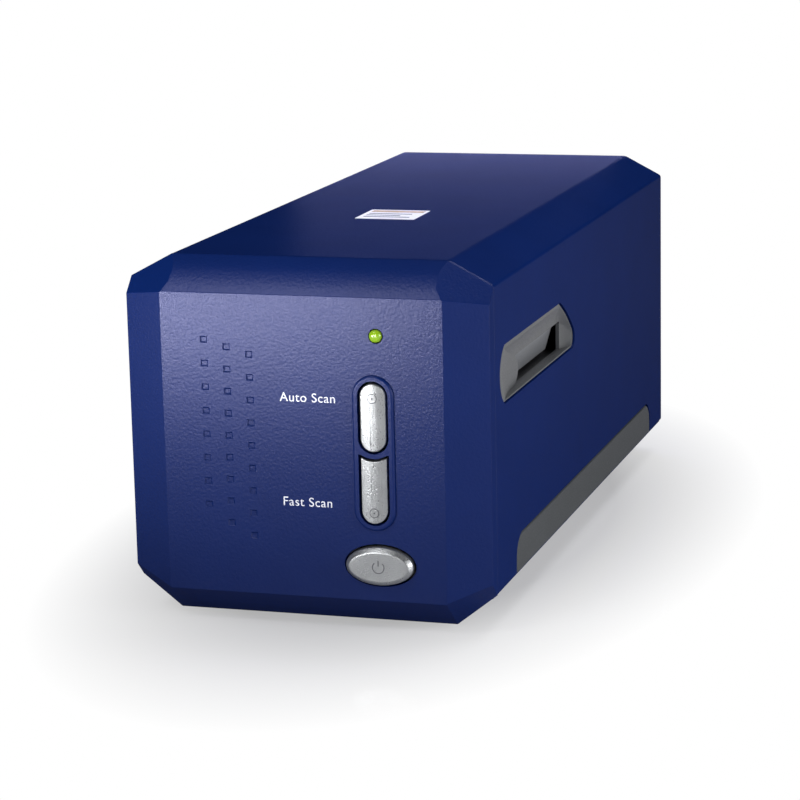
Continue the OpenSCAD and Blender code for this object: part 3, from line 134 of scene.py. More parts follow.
# Screws of the base: places; their bosses' radius, bottom and top; their wells' radius
SCREWS = [(x, y) for x in (-53, 53) for y in (-112.0, 125.5)]
BOSS_R, BOSS_Z, WELL_R = 4, (1.6, 11.2), 3.1
# Rear panel: its gap to the casing's outside, its two faces; each socket's middle, width and height
PANEL_IN, PANEL_Y = WALL - 1.15, (131.0, 133.5)
SOCKETS, SOCKET_Z, SOCKET_GAP = [(-20, 12), (12, 9)], (19.1, 30.1), 0.3

# The photograph's view: turn, rise and roll in degrees, the camera's place and its lens
CAMERA_TURNS, CAMERA_LENS = (17.004, 12.199, -1.222), 124.81
CAMERA_PLACE = (278.368, -937.878, 258.004)
# The table's width, in metres
TABLE_W = 6


# ---------------- camera and stage

def at(x, y, z):
    """A point given in millimetres, in Blender's metres."""
    return Vector((x, y, z)) * MM


def aim_camera():
    """The photograph's view, fitted to the scanner's corners."""
    turn, rise, roll = (math.radians(a) for a in CAMERA_TURNS)
    back = Vector((math.sin(turn) * math.cos(rise), -math.cos(turn) * math.cos(rise), math.sin(rise)))
    right = Vector((0, 0, 1)).cross(back).normalized()
    up = back.cross(right)
    axes = Matrix((right * math.cos(roll) + up * math.sin(roll),
                   up * math.cos(roll) - right * math.sin(roll), back)).transposed()
    bpy.ops.object.camera_add(location=at(*CAMERA_PLACE), rotation=axes.to_euler())
    camera = bpy.context.object
    camera.name = "photo_camera"
    camera.data.lens = CAMERA_LENS
    camera.data.sensor_width = 36
    camera.data.clip_start = 0.01
    bpy.context.scene.camera = camera


def linear(code):
    """An sRGB hex colour as the linear colour that a shader wants."""
    parts = [int(code[i:i + 2], 16) / 255 for i in (1, 3, 5)]
    return [c / 12.92 if c <= 0.04045 else ((c + 0.055) / 1.055) ** 2.4 for c in parts] + [1.0]


def add(tree, kind, inputs=(), **settings):
    """Adds a shader node; a node or a socket given as an input becomes a link."""
    made = tree.nodes.new("ShaderNode" + kind)
    for key, value in settings.items():
        setattr(made, key, value)
    for key, value in dict(inputs).items():
        if isinstance(value, bpy.types.Node):
            value = value.outputs[0]
        if isinstance(value, bpy.types.NodeSocket):
            tree.links.new(value, made.inputs[key])
        else:
            made.inputs[key].default_value = value
    return made


def ramp(tree, value, low, high, start, end):
    """Maps a value between two limits to another range."""
    return add(tree, "MapRange", {"Value": value, "From Min": low, "From Max": high,
                                  "To Min": start, "To Max": end})


def lamp(name, place, target, size, power, colour="#ffffff", spread=180):
    """A softbox that faces a point; a grid on it narrows its spread."""
    aim = (at(*target) - at(*place)).to_track_quat("-Z", "Y").to_euler()
    bpy.ops.object.light_add(type="AREA", location=at(*place), rotation=aim)
    light = bpy.context.object
    light.name = name
    light.data.shape = "RECTANGLE"
    light.data.size, light.data.size_y = size[0] * MM, size[1] * MM
    light.data.energy = power
    light.data.color = linear(colour)[:3]
    light.data.spread = math.radians(spread)


def light_table():
    """A glossy white table. Away from the scanner it glows white as the camera and glass see it;
    near it that glow fades by distance alone, a painted darker pool round the scanner, and the sheet
    itself shows with the scanner's real shadow and its faint mirror image. Metal mirrors that glow
    from further out and weaker, a painted darkening of its reflection, so that the face darkens
    towards its foot."""
    bpy.ops.mesh.primitive_plane_add(size=TABLE_W)
    floor = settle("floor")
    material = bpy.data.materials.new("white acrylic table")
    material.use_nodes = True
    tree = material.node_tree
    tree.nodes.clear()
    path = add(tree, "LightPath")
    sheet = add(tree, "BsdfPrincipled", {"Base Color": linear("#bcbcc0"), "Roughness": 0.08})
    glow = add(tree, "Emission", {"Color": (1, 1, 1, 1), "Strength": 1.0})
    place = add(tree, "TexCoord").outputs["Object"]
    # The scanner is about twice as deep as wide, so the distance from it counts half along Y.
    squeezed = add(tree, "Mapping", {"Vector": place, "Scale": (1, 0.5, 0)})
    away = add(tree, "VectorMath", {0: squeezed}, operation="LENGTH")
    # Painted shade: for the camera the glow fades towards the scanner by distance alone, darkening a pool
    # round it besides its real shadow.
    share = ramp(tree, away.outputs["Value"], 65 * MM, 118 * MM, 0.4, 1.0)
    # Painted reflection: for metal the glow is weaker near the scanner by distance alone, so the face
    # darkens towards its foot.
    far = ramp(tree, away.outputs["Value"], 100 * MM, 300 * MM, 0.2, 0.75)
    direct = add(tree, "Math", {0: path.outputs["Is Camera Ray"], 1: path.outputs["Is Transmission Ray"]},
                 operation="ADD")
    plain = add(tree, "Math", {0: direct, 1: share}, operation="MULTIPLY")
    mirrored = add(tree, "Math", {0: path.outputs["Is Glossy Ray"], 1: far}, operation="MULTIPLY")
    seen = add(tree, "Math", {0: plain, 1: mirrored}, operation="ADD", use_clamp=True)
    mix = add(tree, "MixShader", {0: seen, 1: sheet, 2: glow})
    add(tree, "OutputMaterial", {"Surface": mix})
    floor.data.materials.append(material)


def studio():
    """White all round below the horizon, as the camera, metal and glass see it, and a dark
    ceiling above; the rest of the scanner gets an even, weak light from it."""
    world = bpy.data.worlds.new("studio")
    bpy.context.scene.world = world
    world.use_nodes = True
    tree = world.node_tree
    tree.nodes.clear()
    path = add(tree, "LightPath")
    heading = add(tree, "TexCoord").outputs["Generated"]
    height = add(tree, "SeparateXYZ", {0: heading})
    sweep = ramp(tree, height.outputs[2], -0.05, 0.0, 1.0, 0.02)
    seen = add(tree, "Math", {0: path.outputs["Is Camera Ray"], 1: path.outputs["Is Transmission Ray"]},
               operation="ADD")
    mirrored = add(tree, "Math", {0: path.outputs["Is Glossy Ray"], 1: seen},
                   operation="ADD", use_clamp=True)
    even = add(tree, "Background", {"Color": (1, 1, 1, 1), "Strength": 0.1})
    white = add(tree, "Background", {"Color": (1, 1, 1, 1), "Strength": sweep})
    mix = add(tree, "MixShader", {0: mirrored, 1: even, 2: white})
    add(tree, "OutputWorld", {"Surface": mix})


def build_stage():
    light_table()
    studio()
    # A low strip to the left gives the face its lavender bloom, brightest at its top left, and
    # a bluish one behind gives the top its sheen towards the rear. The softboxes light the rest.
    lamp("bloom_strip", (-104, -310, 74), (-22, -133, 112), (200, 18), 0.17, spread=80)
    lamp("left_softbox", (-310, -660, 870), (0, -100, 100), (300, 300), 3.4)
    lamp("top_softbox", (250, 250, 1050), (0, 0, 60), (400, 400), 6)
    lamp("side_softbox", (500, -220, 170), (60, -60, 60), (200, 200), 1.8)
    lamp("front_side_softbox", (380, -430, 130), (60, -60, 70), (200, 200), 0.25)
    lamp("back_strip", (-60, 300, 136), (0, 60, 118), (170, 14), 0.42, "#c0c4ff")
    bpy.context.scene.view_settings.view_transform = "Standard"


# ---------------- modelling by hand

def take(obj):
    """Selects one object alone and makes it the active one."""
    bpy.ops.object.select_all(action="DESELECT")
    obj.select_set(True)
    bpy.context.view_layer.objects.active = obj


def edit(obj, action="SELECT", kind=None):
    """Enters a piece's edit mode with everything selected, or nothing."""
    take(obj)
    bpy.ops.object.mode_set(mode="EDIT")
    if kind:
        bpy.ops.mesh.select_mode(type=kind)
    bpy.ops.mesh.select_all(action=action)


def leave():
    bpy.ops.object.mode_set(mode="OBJECT")


def bake():
    """Puts the active piece's place, turn and size into its mesh."""
    bpy.ops.object.transform_apply(location=True, rotation=True, scale=True)


def settle(name):
    """Names the new primitive and bakes its place."""
    obj = bpy.context.object
    obj.name = obj.data.name = name
    bake()
    return obj


def block(name, low, high):
    """A box between two corners."""
    size = [(b - a) * MM for a, b in zip(low, high)]
    middle = [(a + b) / 2 for a, b in zip(low, high)]
    bpy.ops.mesh.primitive_cube_add(size=1, location=at(*middle), scale=size)
    return settle(name)


# What turns a primitive's Z axis along X, Y or Z
TURN = {"X": (0, math.pi / 2, 0), "Y": (math.pi / 2, 0, 0), "Z": (0, 0, 0)}


def rod(name, axis, middle, radius, length, sides=48):
    """A cylinder along an axis."""
    bpy.ops.mesh.primitive_cylinder_add(vertices=sides, radius=radius * MM, depth=length * MM,
                                        location=at(*middle), rotation=TURN[axis])
    return settle(name)


def mend(obj):
    """Turns all faces outwards and leaves edit mode."""
    bpy.ops.mesh.select_all(action="SELECT")
    bpy.ops.mesh.normals_make_consistent(inside=False)
    leave()
    return obj


def plate(name, outline, axis, low, high):
    """A ring of corners drawn flat, filled and drawn out along an axis."""
    bpy.ops.mesh.primitive_circle_add(vertices=len(outline), radius=MM, fill_type="NGON")
    obj = settle(name)
    for corner, (a, b) in zip(obj.data.vertices, outline):
        corner.co = at(low, a, b) if axis == "X" else at(a, low, b)
    step = at(high - low, 0, 0) if axis == "X" else at(0, high - low, 0)
    edit(obj)
    bpy.ops.mesh.extrude_region_move(TRANSFORM_OT_translate={"value": step})
    return mend(obj)


def loft(name, rings):
    """A closed solid through rings of equally many points, bridged one to the next."""
    hoops = []
    for points in rings:
        bpy.ops.mesh.primitive_circle_add(vertices=len(points), radius=MM)
        hoop = settle("hoop")
        for corner, point in zip(hoop.data.vertices, points):
            corner.co = at(*point)
        hoops.append(hoop)
    obj = join_as(name, *hoops)
    count = len(rings[0])
    for first in range(len(rings) - 1):
        pick_rings(obj, count, (first, first + 1))
        bpy.ops.mesh.bridge_edge_loops()
    for end in (0, len(rings) - 1):
        pick_rings(obj, count, (end,))
        bpy.ops.mesh.edge_face_add()
    return mend(obj)


def pick_rings(obj, count, wanted):
    """Selects the edges of whole rings by the rings' numbers, in edit mode."""
    leave()
    edit(obj, "DESELECT", "EDGE")
    leave()
    for edge in obj.data.edges:
        a, b = (i // count for i in edge.vertices)
        edge.select = a == b and a in wanted
    bpy.ops.object.mode_set(mode="EDIT")


def slice_off(obj, point, normal):
    """Cuts off what lies beyond a plane and closes the cut."""
    edit(obj)
    bpy.ops.mesh.bisect(plane_co=at(*point), plane_no=normal, use_fill=True, clear_outer=True)
    leave()


def hold(obj, kind, wanted):
    """Selects the faces or edges that pass a test, in edit mode."""
    edit(obj, "DESELECT", kind)
    leave()
    mesh = obj.data
    if kind == "FACE":
        for face in mesh.polygons:
            face.select = wanted(face.center / MM, face.normal)
    else:
        for edge in mesh.edges:
            a, b = (mesh.vertices[i].co / MM for i in edge.vertices)
            edge.select = wanted(a, b)
    bpy.ops.object.mode_set(mode="EDIT")


def round_edges(obj, width, wanted=lambda a, b: True, angle=20, segments=3):
    """Rounds those sharp edges that pass a test."""
    edit(obj, "DESELECT", "EDGE")
    bpy.ops.mesh.edges_select_sharp(sharpness=math.radians(angle))
    leave()
    mesh = obj.data
    for edge in mesh.edges:
        if edge.select:
            a, b = (mesh.vertices[i].co / MM for i in edge.vertices)
            edge.select = wanted(a, b)
    bpy.ops.object.mode_set(mode="EDIT")
    bpy.ops.mesh.bevel(offset=width * MM, segments=segments, profile=0.5, affect="EDGES",
                       clamp_overlap=True)
    leave()


def combine(obj, operation, *tools):
    """Cuts tools out of a piece, or adds them to it, and clears them away."""
    for tool in tools:
        change = obj.modifiers.new("combine", "BOOLEAN")
        change.operation, change.solver, change.object = operation, "EXACT", tool
        take(obj)
        bpy.ops.object.modifier_apply(modifier=change.name)
        bpy.data.objects.remove(tool, do_unlink=True)


def join(obj, *others):
    """Makes one object of several, without changing their forms."""
    take(obj)
    for other in others:
        other.select_set(True)
    bpy.ops.object.join()
    return obj


def join_as(name, *objects):
    """Makes one object of several and names it."""
    obj = join(*objects)
    obj.name = obj.data.name = name
    return obj


def copy_of(obj, name, mirror=False):
    """A copy with a mesh of its own, mirrored to the other side if asked."""
    new = obj.copy()
    new.data = obj.data.copy()
    new.name = new.data.name = name
    bpy.context.collection.objects.link(new)
    if mirror:
        new.scale.x = -1
        take(new)
        bake()
        edit(new)
        mend(new)
    return new


def shift(obj, x, y, z, turn=(0, 0, 0)):
    """Turns and moves a piece and puts both into its mesh."""
    obj.rotation_euler = turn
    obj.location = at(x, y, z)
    take(obj)
    bake()


def dress(obj, slot, body="root", nodes=(), angle=30, look=None):
    """Smooths a finished piece, gives it its slot's finish or a print's, and hangs it on its body."""
    take(obj)
    bpy.ops.object.shade_smooth_by_angle(angle=math.radians(angle))
    weighted = obj.modifiers.new("even_shading", "WEIGHTED_NORMAL")
    weighted.keep_sharp = True
    bpy.ops.object.modifier_apply(modifier=weighted.name)
    obj.data.materials.clear()
    obj.data.materials.append(finishes[look or slot])
    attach(obj, body)
    if nodes:
        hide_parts(*nodes)


# ---------------- materials

def finish(name, colour, roughness, metallic=0.0, **sockets):
    """A material with its shader; the caller links the patterns."""
    material = bpy.data.materials.new(name)
    material.use_nodes = True
    tree = material.node_tree
    tree.nodes.clear()
    shader = add(tree, "BsdfPrincipled",
                 {"Base Color": linear(colour), "Roughness": roughness, "Metallic": metallic})
    for key, value in sockets.items():
        shader.inputs[key.replace("_", " ").title().replace("Ior", "IOR")].default_value = value
    add(tree, "OutputMaterial", {"Surface": shader})
    return material, tree, shader


def grained(name, tones, roughness, grain, depth, metallic=0.0, stretch=(1, 1, 1), **sockets):
    """A finish with mottled colour, uneven gloss and a grain of a real size.

    tones are the darker and the lighter colour, roughness its lowest and highest value,
    grain the width of one grain and depth its height, and stretch how a brushed grain runs.
    """
    material, tree, shader = finish(name, tones[0], roughness[0], metallic, **sockets)
    place = add(tree, "TexCoord").outputs["Object"]
    along = add(tree, "Mapping", {"Vector": place, "Scale": stretch})
    frequency = 1 / (grain * MM)
    patches = add(tree, "TexNoise", {"Vector": along, "Scale": frequency / 12, "Detail": 3})
    fine = add(tree, "TexNoise", {"Vector": along, "Scale": frequency, "Detail": 2})
    tone = add(tree, "Mix", {0: patches, 6: linear(tones[0]), 7: linear(tones[1])}, data_type="RGBA")
    gloss = ramp(tree, fine, 0.3, 0.7, *roughness)
    bump = add(tree, "Bump", {"Height": fine, "Distance": depth * MM, "Strength": 1.0})
    tree.links.new(tone.outputs[2], shader.inputs["Base Color"])
    tree.links.new(gloss.outputs[0], shader.inputs["Roughness"])
    tree.links.new(bump.outputs[0], shader.inputs["Normal"])
    return material


def mica_paint():
    """Navy paint on moulded ABS with fine mica in it: the pigment gives the deep blue, the
    mica a lavender bloom where a light is mirrored, and the mould a fine orange peel. The real
    peel is about 0.3 mm wide, too fine to show, so it is drawn coarser, at 0.9 mm."""
    material, tree, pigment = finish("mica paint on moulded ABS", "#051b4f", 0.45,
                                     specular_ior_level=0.0)
    place = add(tree, "TexCoord").outputs["Object"]
    clouds = add(tree, "TexNoise", {"Vector": place, "Scale": 1 / (25 * MM), "Detail": 3})
    peel = add(tree, "TexNoise", {"Vector": place, "Scale": 1 / (0.9 * MM), "Detail": 2})
    tone = add(tree, "Mix", {0: clouds, 6: linear("#04194b"), 7: linear("#061d53")}, data_type="RGBA")
    bump = add(tree, "Bump", {"Height": peel, "Distance": 0.08 * MM, "Strength": 1.0})
    gloss = ramp(tree, peel, 0.3, 0.7, 0.32, 0.37)
    mica = add(tree, "BsdfPrincipled", {"Base Color": linear("#c0c0de"), "Metallic": 1.0,
                                        "Roughness": gloss, "Normal": bump})
    tree.links.new(tone.outputs[2], pigment.inputs["Base Color"])
    tree.links.new(bump.outputs[0], pigment.inputs["Normal"])
    mix = add(tree, "MixShader", {0: 0.03, 1: pigment, 2: mica})
    tree.links.new(mix.outputs[0], tree.nodes["Material Output"].inputs["Surface"])
    return material


def make_materials():
    """A finish for each slot of the record and for the prints, with what it gives the eye."""
    made = {"blue_shell": mica_paint()}
    # Rear panel: near black, its fine mould texture spreads the light to a soft sheen.
    made["black_panel"] = grained("moulded black ABS", ("#1d1e22", "#25262b"), (0.45, 0.6), 0.5, 0.01)
    # Slot surround: neutral grey with a broad soft highlight that shows the scoop's curve.
    made["slot_grey"] = grained("satin grey ABS", ("#3f4144", "#47494c"), (0.36, 0.46), 0.5, 0.006)
    # Flap: painted light: its grey is raised above its own tone to stand in for the light it misses in
    # the slot's shade, so that it reads lighter than its surround.
    made["flap_grey"] = grained("satin grey ABS with painted light", ("#66686c", "#707276"), (0.4, 0.5), 0.5, 0.006)
    # Side strips: soft mid grey without highlights, slightly uneven like bare rubber.
    made["strip_rubber"] = grained("moulded grey rubber", ("#34373a", "#3d4043"), (0.6, 0.75), 0.6, 0.02)
    # Feet: dark and dull, so that they vanish in the shade below the base.
    made["foot_rubber"] = grained("moulded black rubber", ("#1f2022", "#292a2c"), (0.7, 0.85), 0.6, 0.02)
    # Buttons: pale silver whose flakes sparkle where the cap's curve turns from the light. Real
    # flakes are below 0.1 mm, too fine to show, so they are drawn coarser, at 0.45 mm.
    made["silver_button"] = grained(
        "silver metallic paint on ABS", ("#96989a", "#acaeb0"), (0.26, 0.4), 0.45, 0.08, metallic=0.85)
    # Lamp window: yellow green that lets light in and ends in a small sharp highlight.
    made["green_window"] = grained(
        "tinted clear acrylic", ("#94c41c", "#a8d42a"), (0.08, 0.14), 1.0, 0.002, transmission_weight=0.4)
    # Sticker: warm white, flatter and brighter than the paint round it.
    made["sticker"] = grained("printed vinyl film", ("#f2f1ee", "#f8f7f4"), (0.4, 0.5), 0.8, 0.003)
    # Button flanges and clips: soft black that stays quiet behind the caps.
    made["black_plastic"] = grained("moulded black nylon", ("#26272a", "#303135"), (0.45, 0.6), 0.5, 0.01)
    # Switch bodies: dark grey black, slightly glossier than the nylon.
    made["switch_black"] = grained("moulded black PBT", ("#2c2d30", "#36373b"), (0.4, 0.55), 0.4, 0.008)
    # Chassis and brackets: cool grey metal with a blurred shine drawn along the rolling.
    made["sheet_steel"] = grained(
        "zinc plated sheet steel", ("#a2a6ab", "#b6babf"), (0.28, 0.42), 0.4, 0.004,
        metallic=1.0, stretch=(1, 0.1, 1))
    # Rails, pins and springs: bright lines of light along the grinding.
    made["bright_steel"] = grained(
        "ground steel", ("#c0c3c8", "#cccfd3"), (0.12, 0.22), 0.3, 0.002,
        metallic=1.0, stretch=(1, 0.05, 1))
    # Screws: nearly black steel with small soft glints.
    made["screw_steel"] = grained(
        "black oxide steel", ("#3c3d41", "#4a4b4f"), (0.25, 0.4), 0.3, 0.004, metallic=1.0)
    # Boards: deep green with the weave just felt under a glossy mask.
    made["circuit_board"] = grained(
        "solder mask on fibreglass", ("#145c30", "#1d7040"), (0.25, 0.35), 1.2, 0.02)
    # Chips: dull charcoal blocks that stand off the green.
    made["chip_epoxy"] = grained("moulded epoxy", ("#1b1b1d", "#242427"), (0.45, 0.6), 0.3, 0.006)
    # Capacitors: shiny dark blue sleeves with a narrow highlight.
    made["capacitor_sleeve"] = grained("shrink sleeve", ("#26345e", "#2e3e6c"), (0.2, 0.3), 0.6, 0.004)
    # Bushings: warm, porous and slightly rough, as oil bronze is.
    made["bronze"] = grained(
        "sintered bronze", ("#a67f3e", "#b98f4c"), (0.35, 0.5), 0.25, 0.01, metallic=1.0)
    # Mirror: an almost perfect reflection, a touch cool.
    made["mirror_glass"] = grained(
        "front silvered glass", ("#dde2e6", "#e6eaed"), (0.01, 0.02), 2.0, 0.0005, metallic=1.0)
    # Lens: clear with a faint cool tint.
    made["lens_glass"] = grained(
        "coated optical glass", ("#e6f0f4", "#eef6f8"), (0.0, 0.01), 2.0, 0.0002,
        transmission_weight=1.0, ior=1.52)
    # Sensor: a dark violet window with a hard gloss.
    made["sensor_glass"] = grained(
        "ceramic with a glass window", ("#38324e", "#443d5c"), (0.08, 0.15), 1.0, 0.002)
    # Lamp board: clean white that throws light back.
    made["lamp_white"] = grained("white solder mask", ("#e2e3dc", "#ecede6"), (0.3, 0.4), 1.0, 0.01)
    # Diffuser: milky white without a hard highlight.
    made["diffuser_white"] = grained("opal acrylic", ("#ededea", "#f4f4f2"), (0.4, 0.5), 1.0, 0.004)
    # Belt: black and dry, with no shine.
    made["belt_rubber"] = grained("moulded neoprene", ("#18181a", "#222224"), (0.6, 0.75), 0.4, 0.02)
    # Pulleys and clamps: creamy, slightly waxy plastic.
    made["nylon"] = grained("natural nylon", ("#dfdac6", "#e8e4d4"), (0.35, 0.5), 0.5, 0.006)
    # Motor and carriage parts: pale metal with fine rings from the lathe.
    made["turned_aluminium"] = grained(
        "turned aluminium", ("#cfd1d3", "#dcdedf"), (0.22, 0.34), 0.2, 0.004,
        metallic=1.0, stretch=(1, 8, 8))
    # Socket shells: bright, slightly warm metal.
    made["socket_steel"] = grained(
        "nickel plated socket shell", ("#b7babd", "#c5c8ca"), (0.18, 0.3), 0.4, 0.003, metallic=1.0)
    # Ribbon: off white with the wires as long ridges.
    made["ribbon_white"] = grained(
        "laminated flat cable", ("#cfd0c8", "#dcdcd5"), (0.35, 0.45), 1.0, 0.03, stretch=(1, 0.02, 0.02))
    # Legends: crisp cool white on the blue.
    made["white_print"] = grained("white screen print", ("#ccced8", "#dadce4"), (0.4, 0.5), 0.5, 0.002)
    # Signs and the sticker's bars: thin dark grey lines.
    made["dark_print"] = grained("dark screen print", ("#4c4d52", "#58595e"), (0.4, 0.5), 0.5, 0.002)
    # The sticker's band: a plain ochre field.
    made["gold_print"] = grained("ochre print", ("#b08a3c", "#c09a4a"), (0.35, 0.45), 0.5, 0.002)
    return made


# ---------------- casing

def chamfers(inset):
    """The casing's four slanting planes: a point and a normal each."""
    found = []
    for (run, rise), z, up in ((TOP_CHAMFER, CASE_H, 1), (BASE_CHAMFER, FOOT_H, -1)):
        long = math.hypot(run, rise)
        for side in (-1, 1):
            normal = Vector((side * rise / long, 0, up * run / long))
            found.append((Vector((side * (HALF_W - run), 0, z)) - normal * inset, normal))
    return found


def casing(name, inset, y0, y1, z0=FOOT_H, z1=CASE_H):
    """A length of the casing's section."""
    obj = block(name, (inset - HALF_W, y0, max(z0, FOOT_H + inset)),
                (HALF_W - inset, y1, min(z1, CASE_H - inset)))
    for point, normal in chamfers(inset):
        slice_off(obj, point, normal)
    return obj


def facet(p, q, r, inset):
    """The plane through three points, moved inwards: a point and its normal."""
    p, q, r = Vector(p), Vector(q), Vector(r)
    normal = (q - p).cross(r - p).normalized()
    return p - normal * inset, normal


def brow_points(end, steps):
    """The top slope's section in Y and Z: a straight line, or a slightly rounded one."""
    run, rise = end - Y_FRONT, CASE_H - FACE_Z1
    long = math.hypot(run, rise)
    points = []
    for i in range(steps + 1):
        t = i / steps
        out = BROW_BULGE * 4 * t * (1 - t)
        points.append((Y_FRONT + run * t - out * rise / long, FACE_Z1 + rise * t + out * run / long))
    return points


def bezel_form(name, inset, y1):
    """The bezel's faceted block, or the space inside it."""
    obj = casing(name, inset, Y_FRONT + inset, y1)
    end, corner_y, clip = Y_SEAM - SLOPE_STOP, Y_SEAM - CORNER_STOP, FACE_X - CORNER_BITE
    brow = brow_points(end, 1 if inset else BROW_STEPS)
    planes = [facet((-FACE_X, *a), (FACE_X, *a), (0, *b), inset) for a, b in zip(brow, brow[1:])]
    planes += [
        facet((FACE_X, Y_FRONT, FACE_Z0), (-FACE_X, Y_FRONT, FACE_Z0), (0, end, FOOT_H), inset),
        facet((FACE_X, Y_FRONT, FACE_Z0), (HALF_W, Y_FRONT + SIDE_BAND, FACE_Z0),
              (FACE_X, Y_FRONT, FACE_Z1), inset),
        facet((clip, Y_FRONT, FACE_Z1), (HALF_W, corner_y, CASE_H - TOP_CHAMFER[1]),
              (HALF_W - TOP_CHAMFER[0], corner_y, CASE_H), inset),
        facet((clip, Y_FRONT, FACE_Z0), (HALF_W - BASE_CHAMFER[0], corner_y, FOOT_H),
              (HALF_W, corner_y, Z_SIDE), inset),
    ]
    for point, normal in planes:
        slice_off(obj, point, normal)
        if abs(normal.x) > 0.01:
            slice_off(obj, (-point.x, point.y, point.z), (-normal.x, normal.y, normal.z))
    return obj


def arc(x, z, radius, start, end, count=24):
    """Points along an arc, its angles in degrees from +X towards +Z."""
    angles = [math.radians(start + (end - start) * i / count) for i in range(count + 1)]
    return [(x + radius * math.cos(a), z + radius * math.sin(a)) for a in angles]


def pill(radius, z0, z1):
    """The upper scan button's outline, with round ends."""
    return (arc(SCAN_X, z1 - radius, radius, 0, 180)
            + arc(SCAN_X, z0 + radius, radius, 180, 360))


def hollow_pill(grow):
    """The lower scan button's outline: round below, hollow above."""
    radius, top = SCAN_R + grow, LOWER[1] + grow
    hollow = (SCAN_R ** 2 + LOWER_SAG ** 2) / 2 / LOWER_SAG
    centre = LOWER[1] - LOWER_SAG + hollow
    hollow -= grow
    half = min(radius, math.sqrt(hollow ** 2 - (centre - top) ** 2))
    spread = math.degrees(math.asin(half / hollow))
    ends = [(SCAN_X + radius, top)] if half < radius - 0.01 else []
    return (arc(SCAN_X, LOWER[0] - grow + radius, radius, 180, 360) + ends
            + arc(SCAN_X, centre, hollow, spread - 90, -spread - 90, 16)
            + [(2 * SCAN_X - x, z) for x, z in ends])


def oval(grow):
    """The power button's outline."""
    angles = [math.tau * i / 96 for i in range(96)]
    return [(POWER_X + (POWER_HALF_W + grow) * math.cos(a), POWER_Z + (POWER_HALF_H + grow) * math.sin(a))
            for a in angles]


def dimple_tools():
    """Shallow pockets with slanting walls, one copied to all 26 places."""
    first = block("dimple", (-DIMPLE_HALF_W, Y_FRONT - 0.3, -DIMPLE_HALF_H),
                  (DIMPLE_HALF_W, Y_FRONT + DIMPLE_DEPTH, DIMPLE_HALF_H))
    hold(first, "FACE", lambda c, n: n.y > 0.5)
    bpy.ops.transform.resize(value=DIMPLE_FLOOR)
    leave()
    copies = []
    for col, (pitch, count) in enumerate(DIMPLE_COLUMNS):
        for row in range(count):
            new = copy_of(first, "dimple_%d_%d" % (col, row))
            shift(new, DIMPLE_X + COLUMN_STEP * col, 0, DIMPLE_Z - COLUMN_DROP * col - row * pitch)
            copies.append(new)
    bpy.data.objects.remove(first, do_unlink=True)
    return join(*copies)


def screw_posts(places, heights, radius, end):
    """Round posts on the face's inner side, sunk 0.1 mm into it."""
    start = Y_WALL - 0.1
    return [rod("post", "Y", (x, (start + end) / 2, z), radius, end - start, 32)
            for x in places for z in heights]


def make_bezel():
    bezel = bezel_form("bezel", 0, Y_SEAM)
    round_edges(bezel, EDGE_R, lambda a, b: min(a.y, b.y) < Y_SEAM - 1)
    round_edges(bezel, BEZEL_SEAM_R, lambda a, b: min(a.y, b.y) > Y_SEAM - 0.6, angle=30, segments=2)
    reach = GAP + COLLAR_W
    collar = plate("collar", pill(SCAN_R + reach, LOWER[0] - reach, UPPER[1] + reach), "Y",
                   Y_FRONT - COLLAR_T, Y_FRONT + 1)
    round_edges(collar, 0.85, lambda a, b: max(a.y, b.y) < Y_FRONT - 0.5, angle=60, segments=4)
    combine(bezel, "UNION", collar)
    depth = (Y_FRONT - 4, Y_FRONT + WALL + 1)
    combine(bezel, "DIFFERENCE",
            plate("upper_gap", pill(SCAN_R + GAP, UPPER[0] - GAP, UPPER[1] + GAP), "Y", *depth),
            plate("lower_gap", hollow_pill(GAP), "Y", *depth),
            plate("power_gap", oval(GAP), "Y", *depth),
            rod("lamp_gap", "Y", (LAMP_X, Y_FRONT, LAMP_Z), LAMP_R + LAMP_GAP, 12),
            dimple_tools(), bezel_form("inside", WALL, Y_SEAM + 1))
    tongue = casing("tongue", WALL + TONGUE_OUT, Y_SEAM + TONGUE_Y[0], Y_SEAM + TONGUE_Y[1])
    hollow = casing("tongue_inside", WALL + TONGUE_IN, Y_SEAM - 4, Y_SEAM + 5)
    combine(tongue, "DIFFERENCE", hollow)
    join(bezel, tongue, *screw_posts(*CASE_POSTS), *screw_posts(*BOARD_POSTS))
    dress(bezel, "blue_shell", nodes=["front_bezel"])


# ---------------- film slot

def slot_outline(grow):
    """The surround's outline in Y and Z: front arc, sloping crest and rear tip."""
    low, high = SLOT_Z0 - RIM_BELOW - grow, SLOT_Z1 + RIM_ABOVE + grow
    radius = (high - low) / 2 + FRONT_FLAT
    half = math.asin((high - low) / 2 / radius)
    front = Vector((Y_SLOT - SLOT_HALF - RIM_FRONT + radius - grow, (low + high) / 2))
    tip = Vector((Y_SLOT + SLOT_HALF + RIM_REAR - TIP_R, SLOT_Z0 - RIM_BELOW + TIP_R))
    lean = math.radians(TIP_LEAN)
    crest = Vector((Y_SLOT + SLOT_HALF - CREST_END + grow / 4, high))
    end = tip + (TIP_R + grow) * Vector((math.cos(lean), math.sin(lean)))
    side = Vector((crest.y - end.y, end.x - crest.x)).normalized()
    middle = (crest + end) / 2 + CREST_BULGE * side
    arc_steps, crest_steps, tip_steps = SLOT_STEPS
    points = []
    for i in range(arc_steps + 1):
        a = math.pi + half - 2 * half * i / arc_steps
        points.append(front + radius * Vector((math.cos(a), math.sin(a))))
    for i in range(crest_steps + 1):
        t = i / crest_steps
        points.append(crest * (1 - t) ** 2 + middle * 2 * t * (1 - t) + end * t * t)
    for i in range(1, tip_steps + 1):
        a = lean - TIP_TURN - (lean - TIP_TURN + math.pi / 2) * i / tip_steps
        points.append(tip + (TIP_R + grow) * Vector((math.cos(a), math.sin(a))))
    return [tuple(p) for p in points]


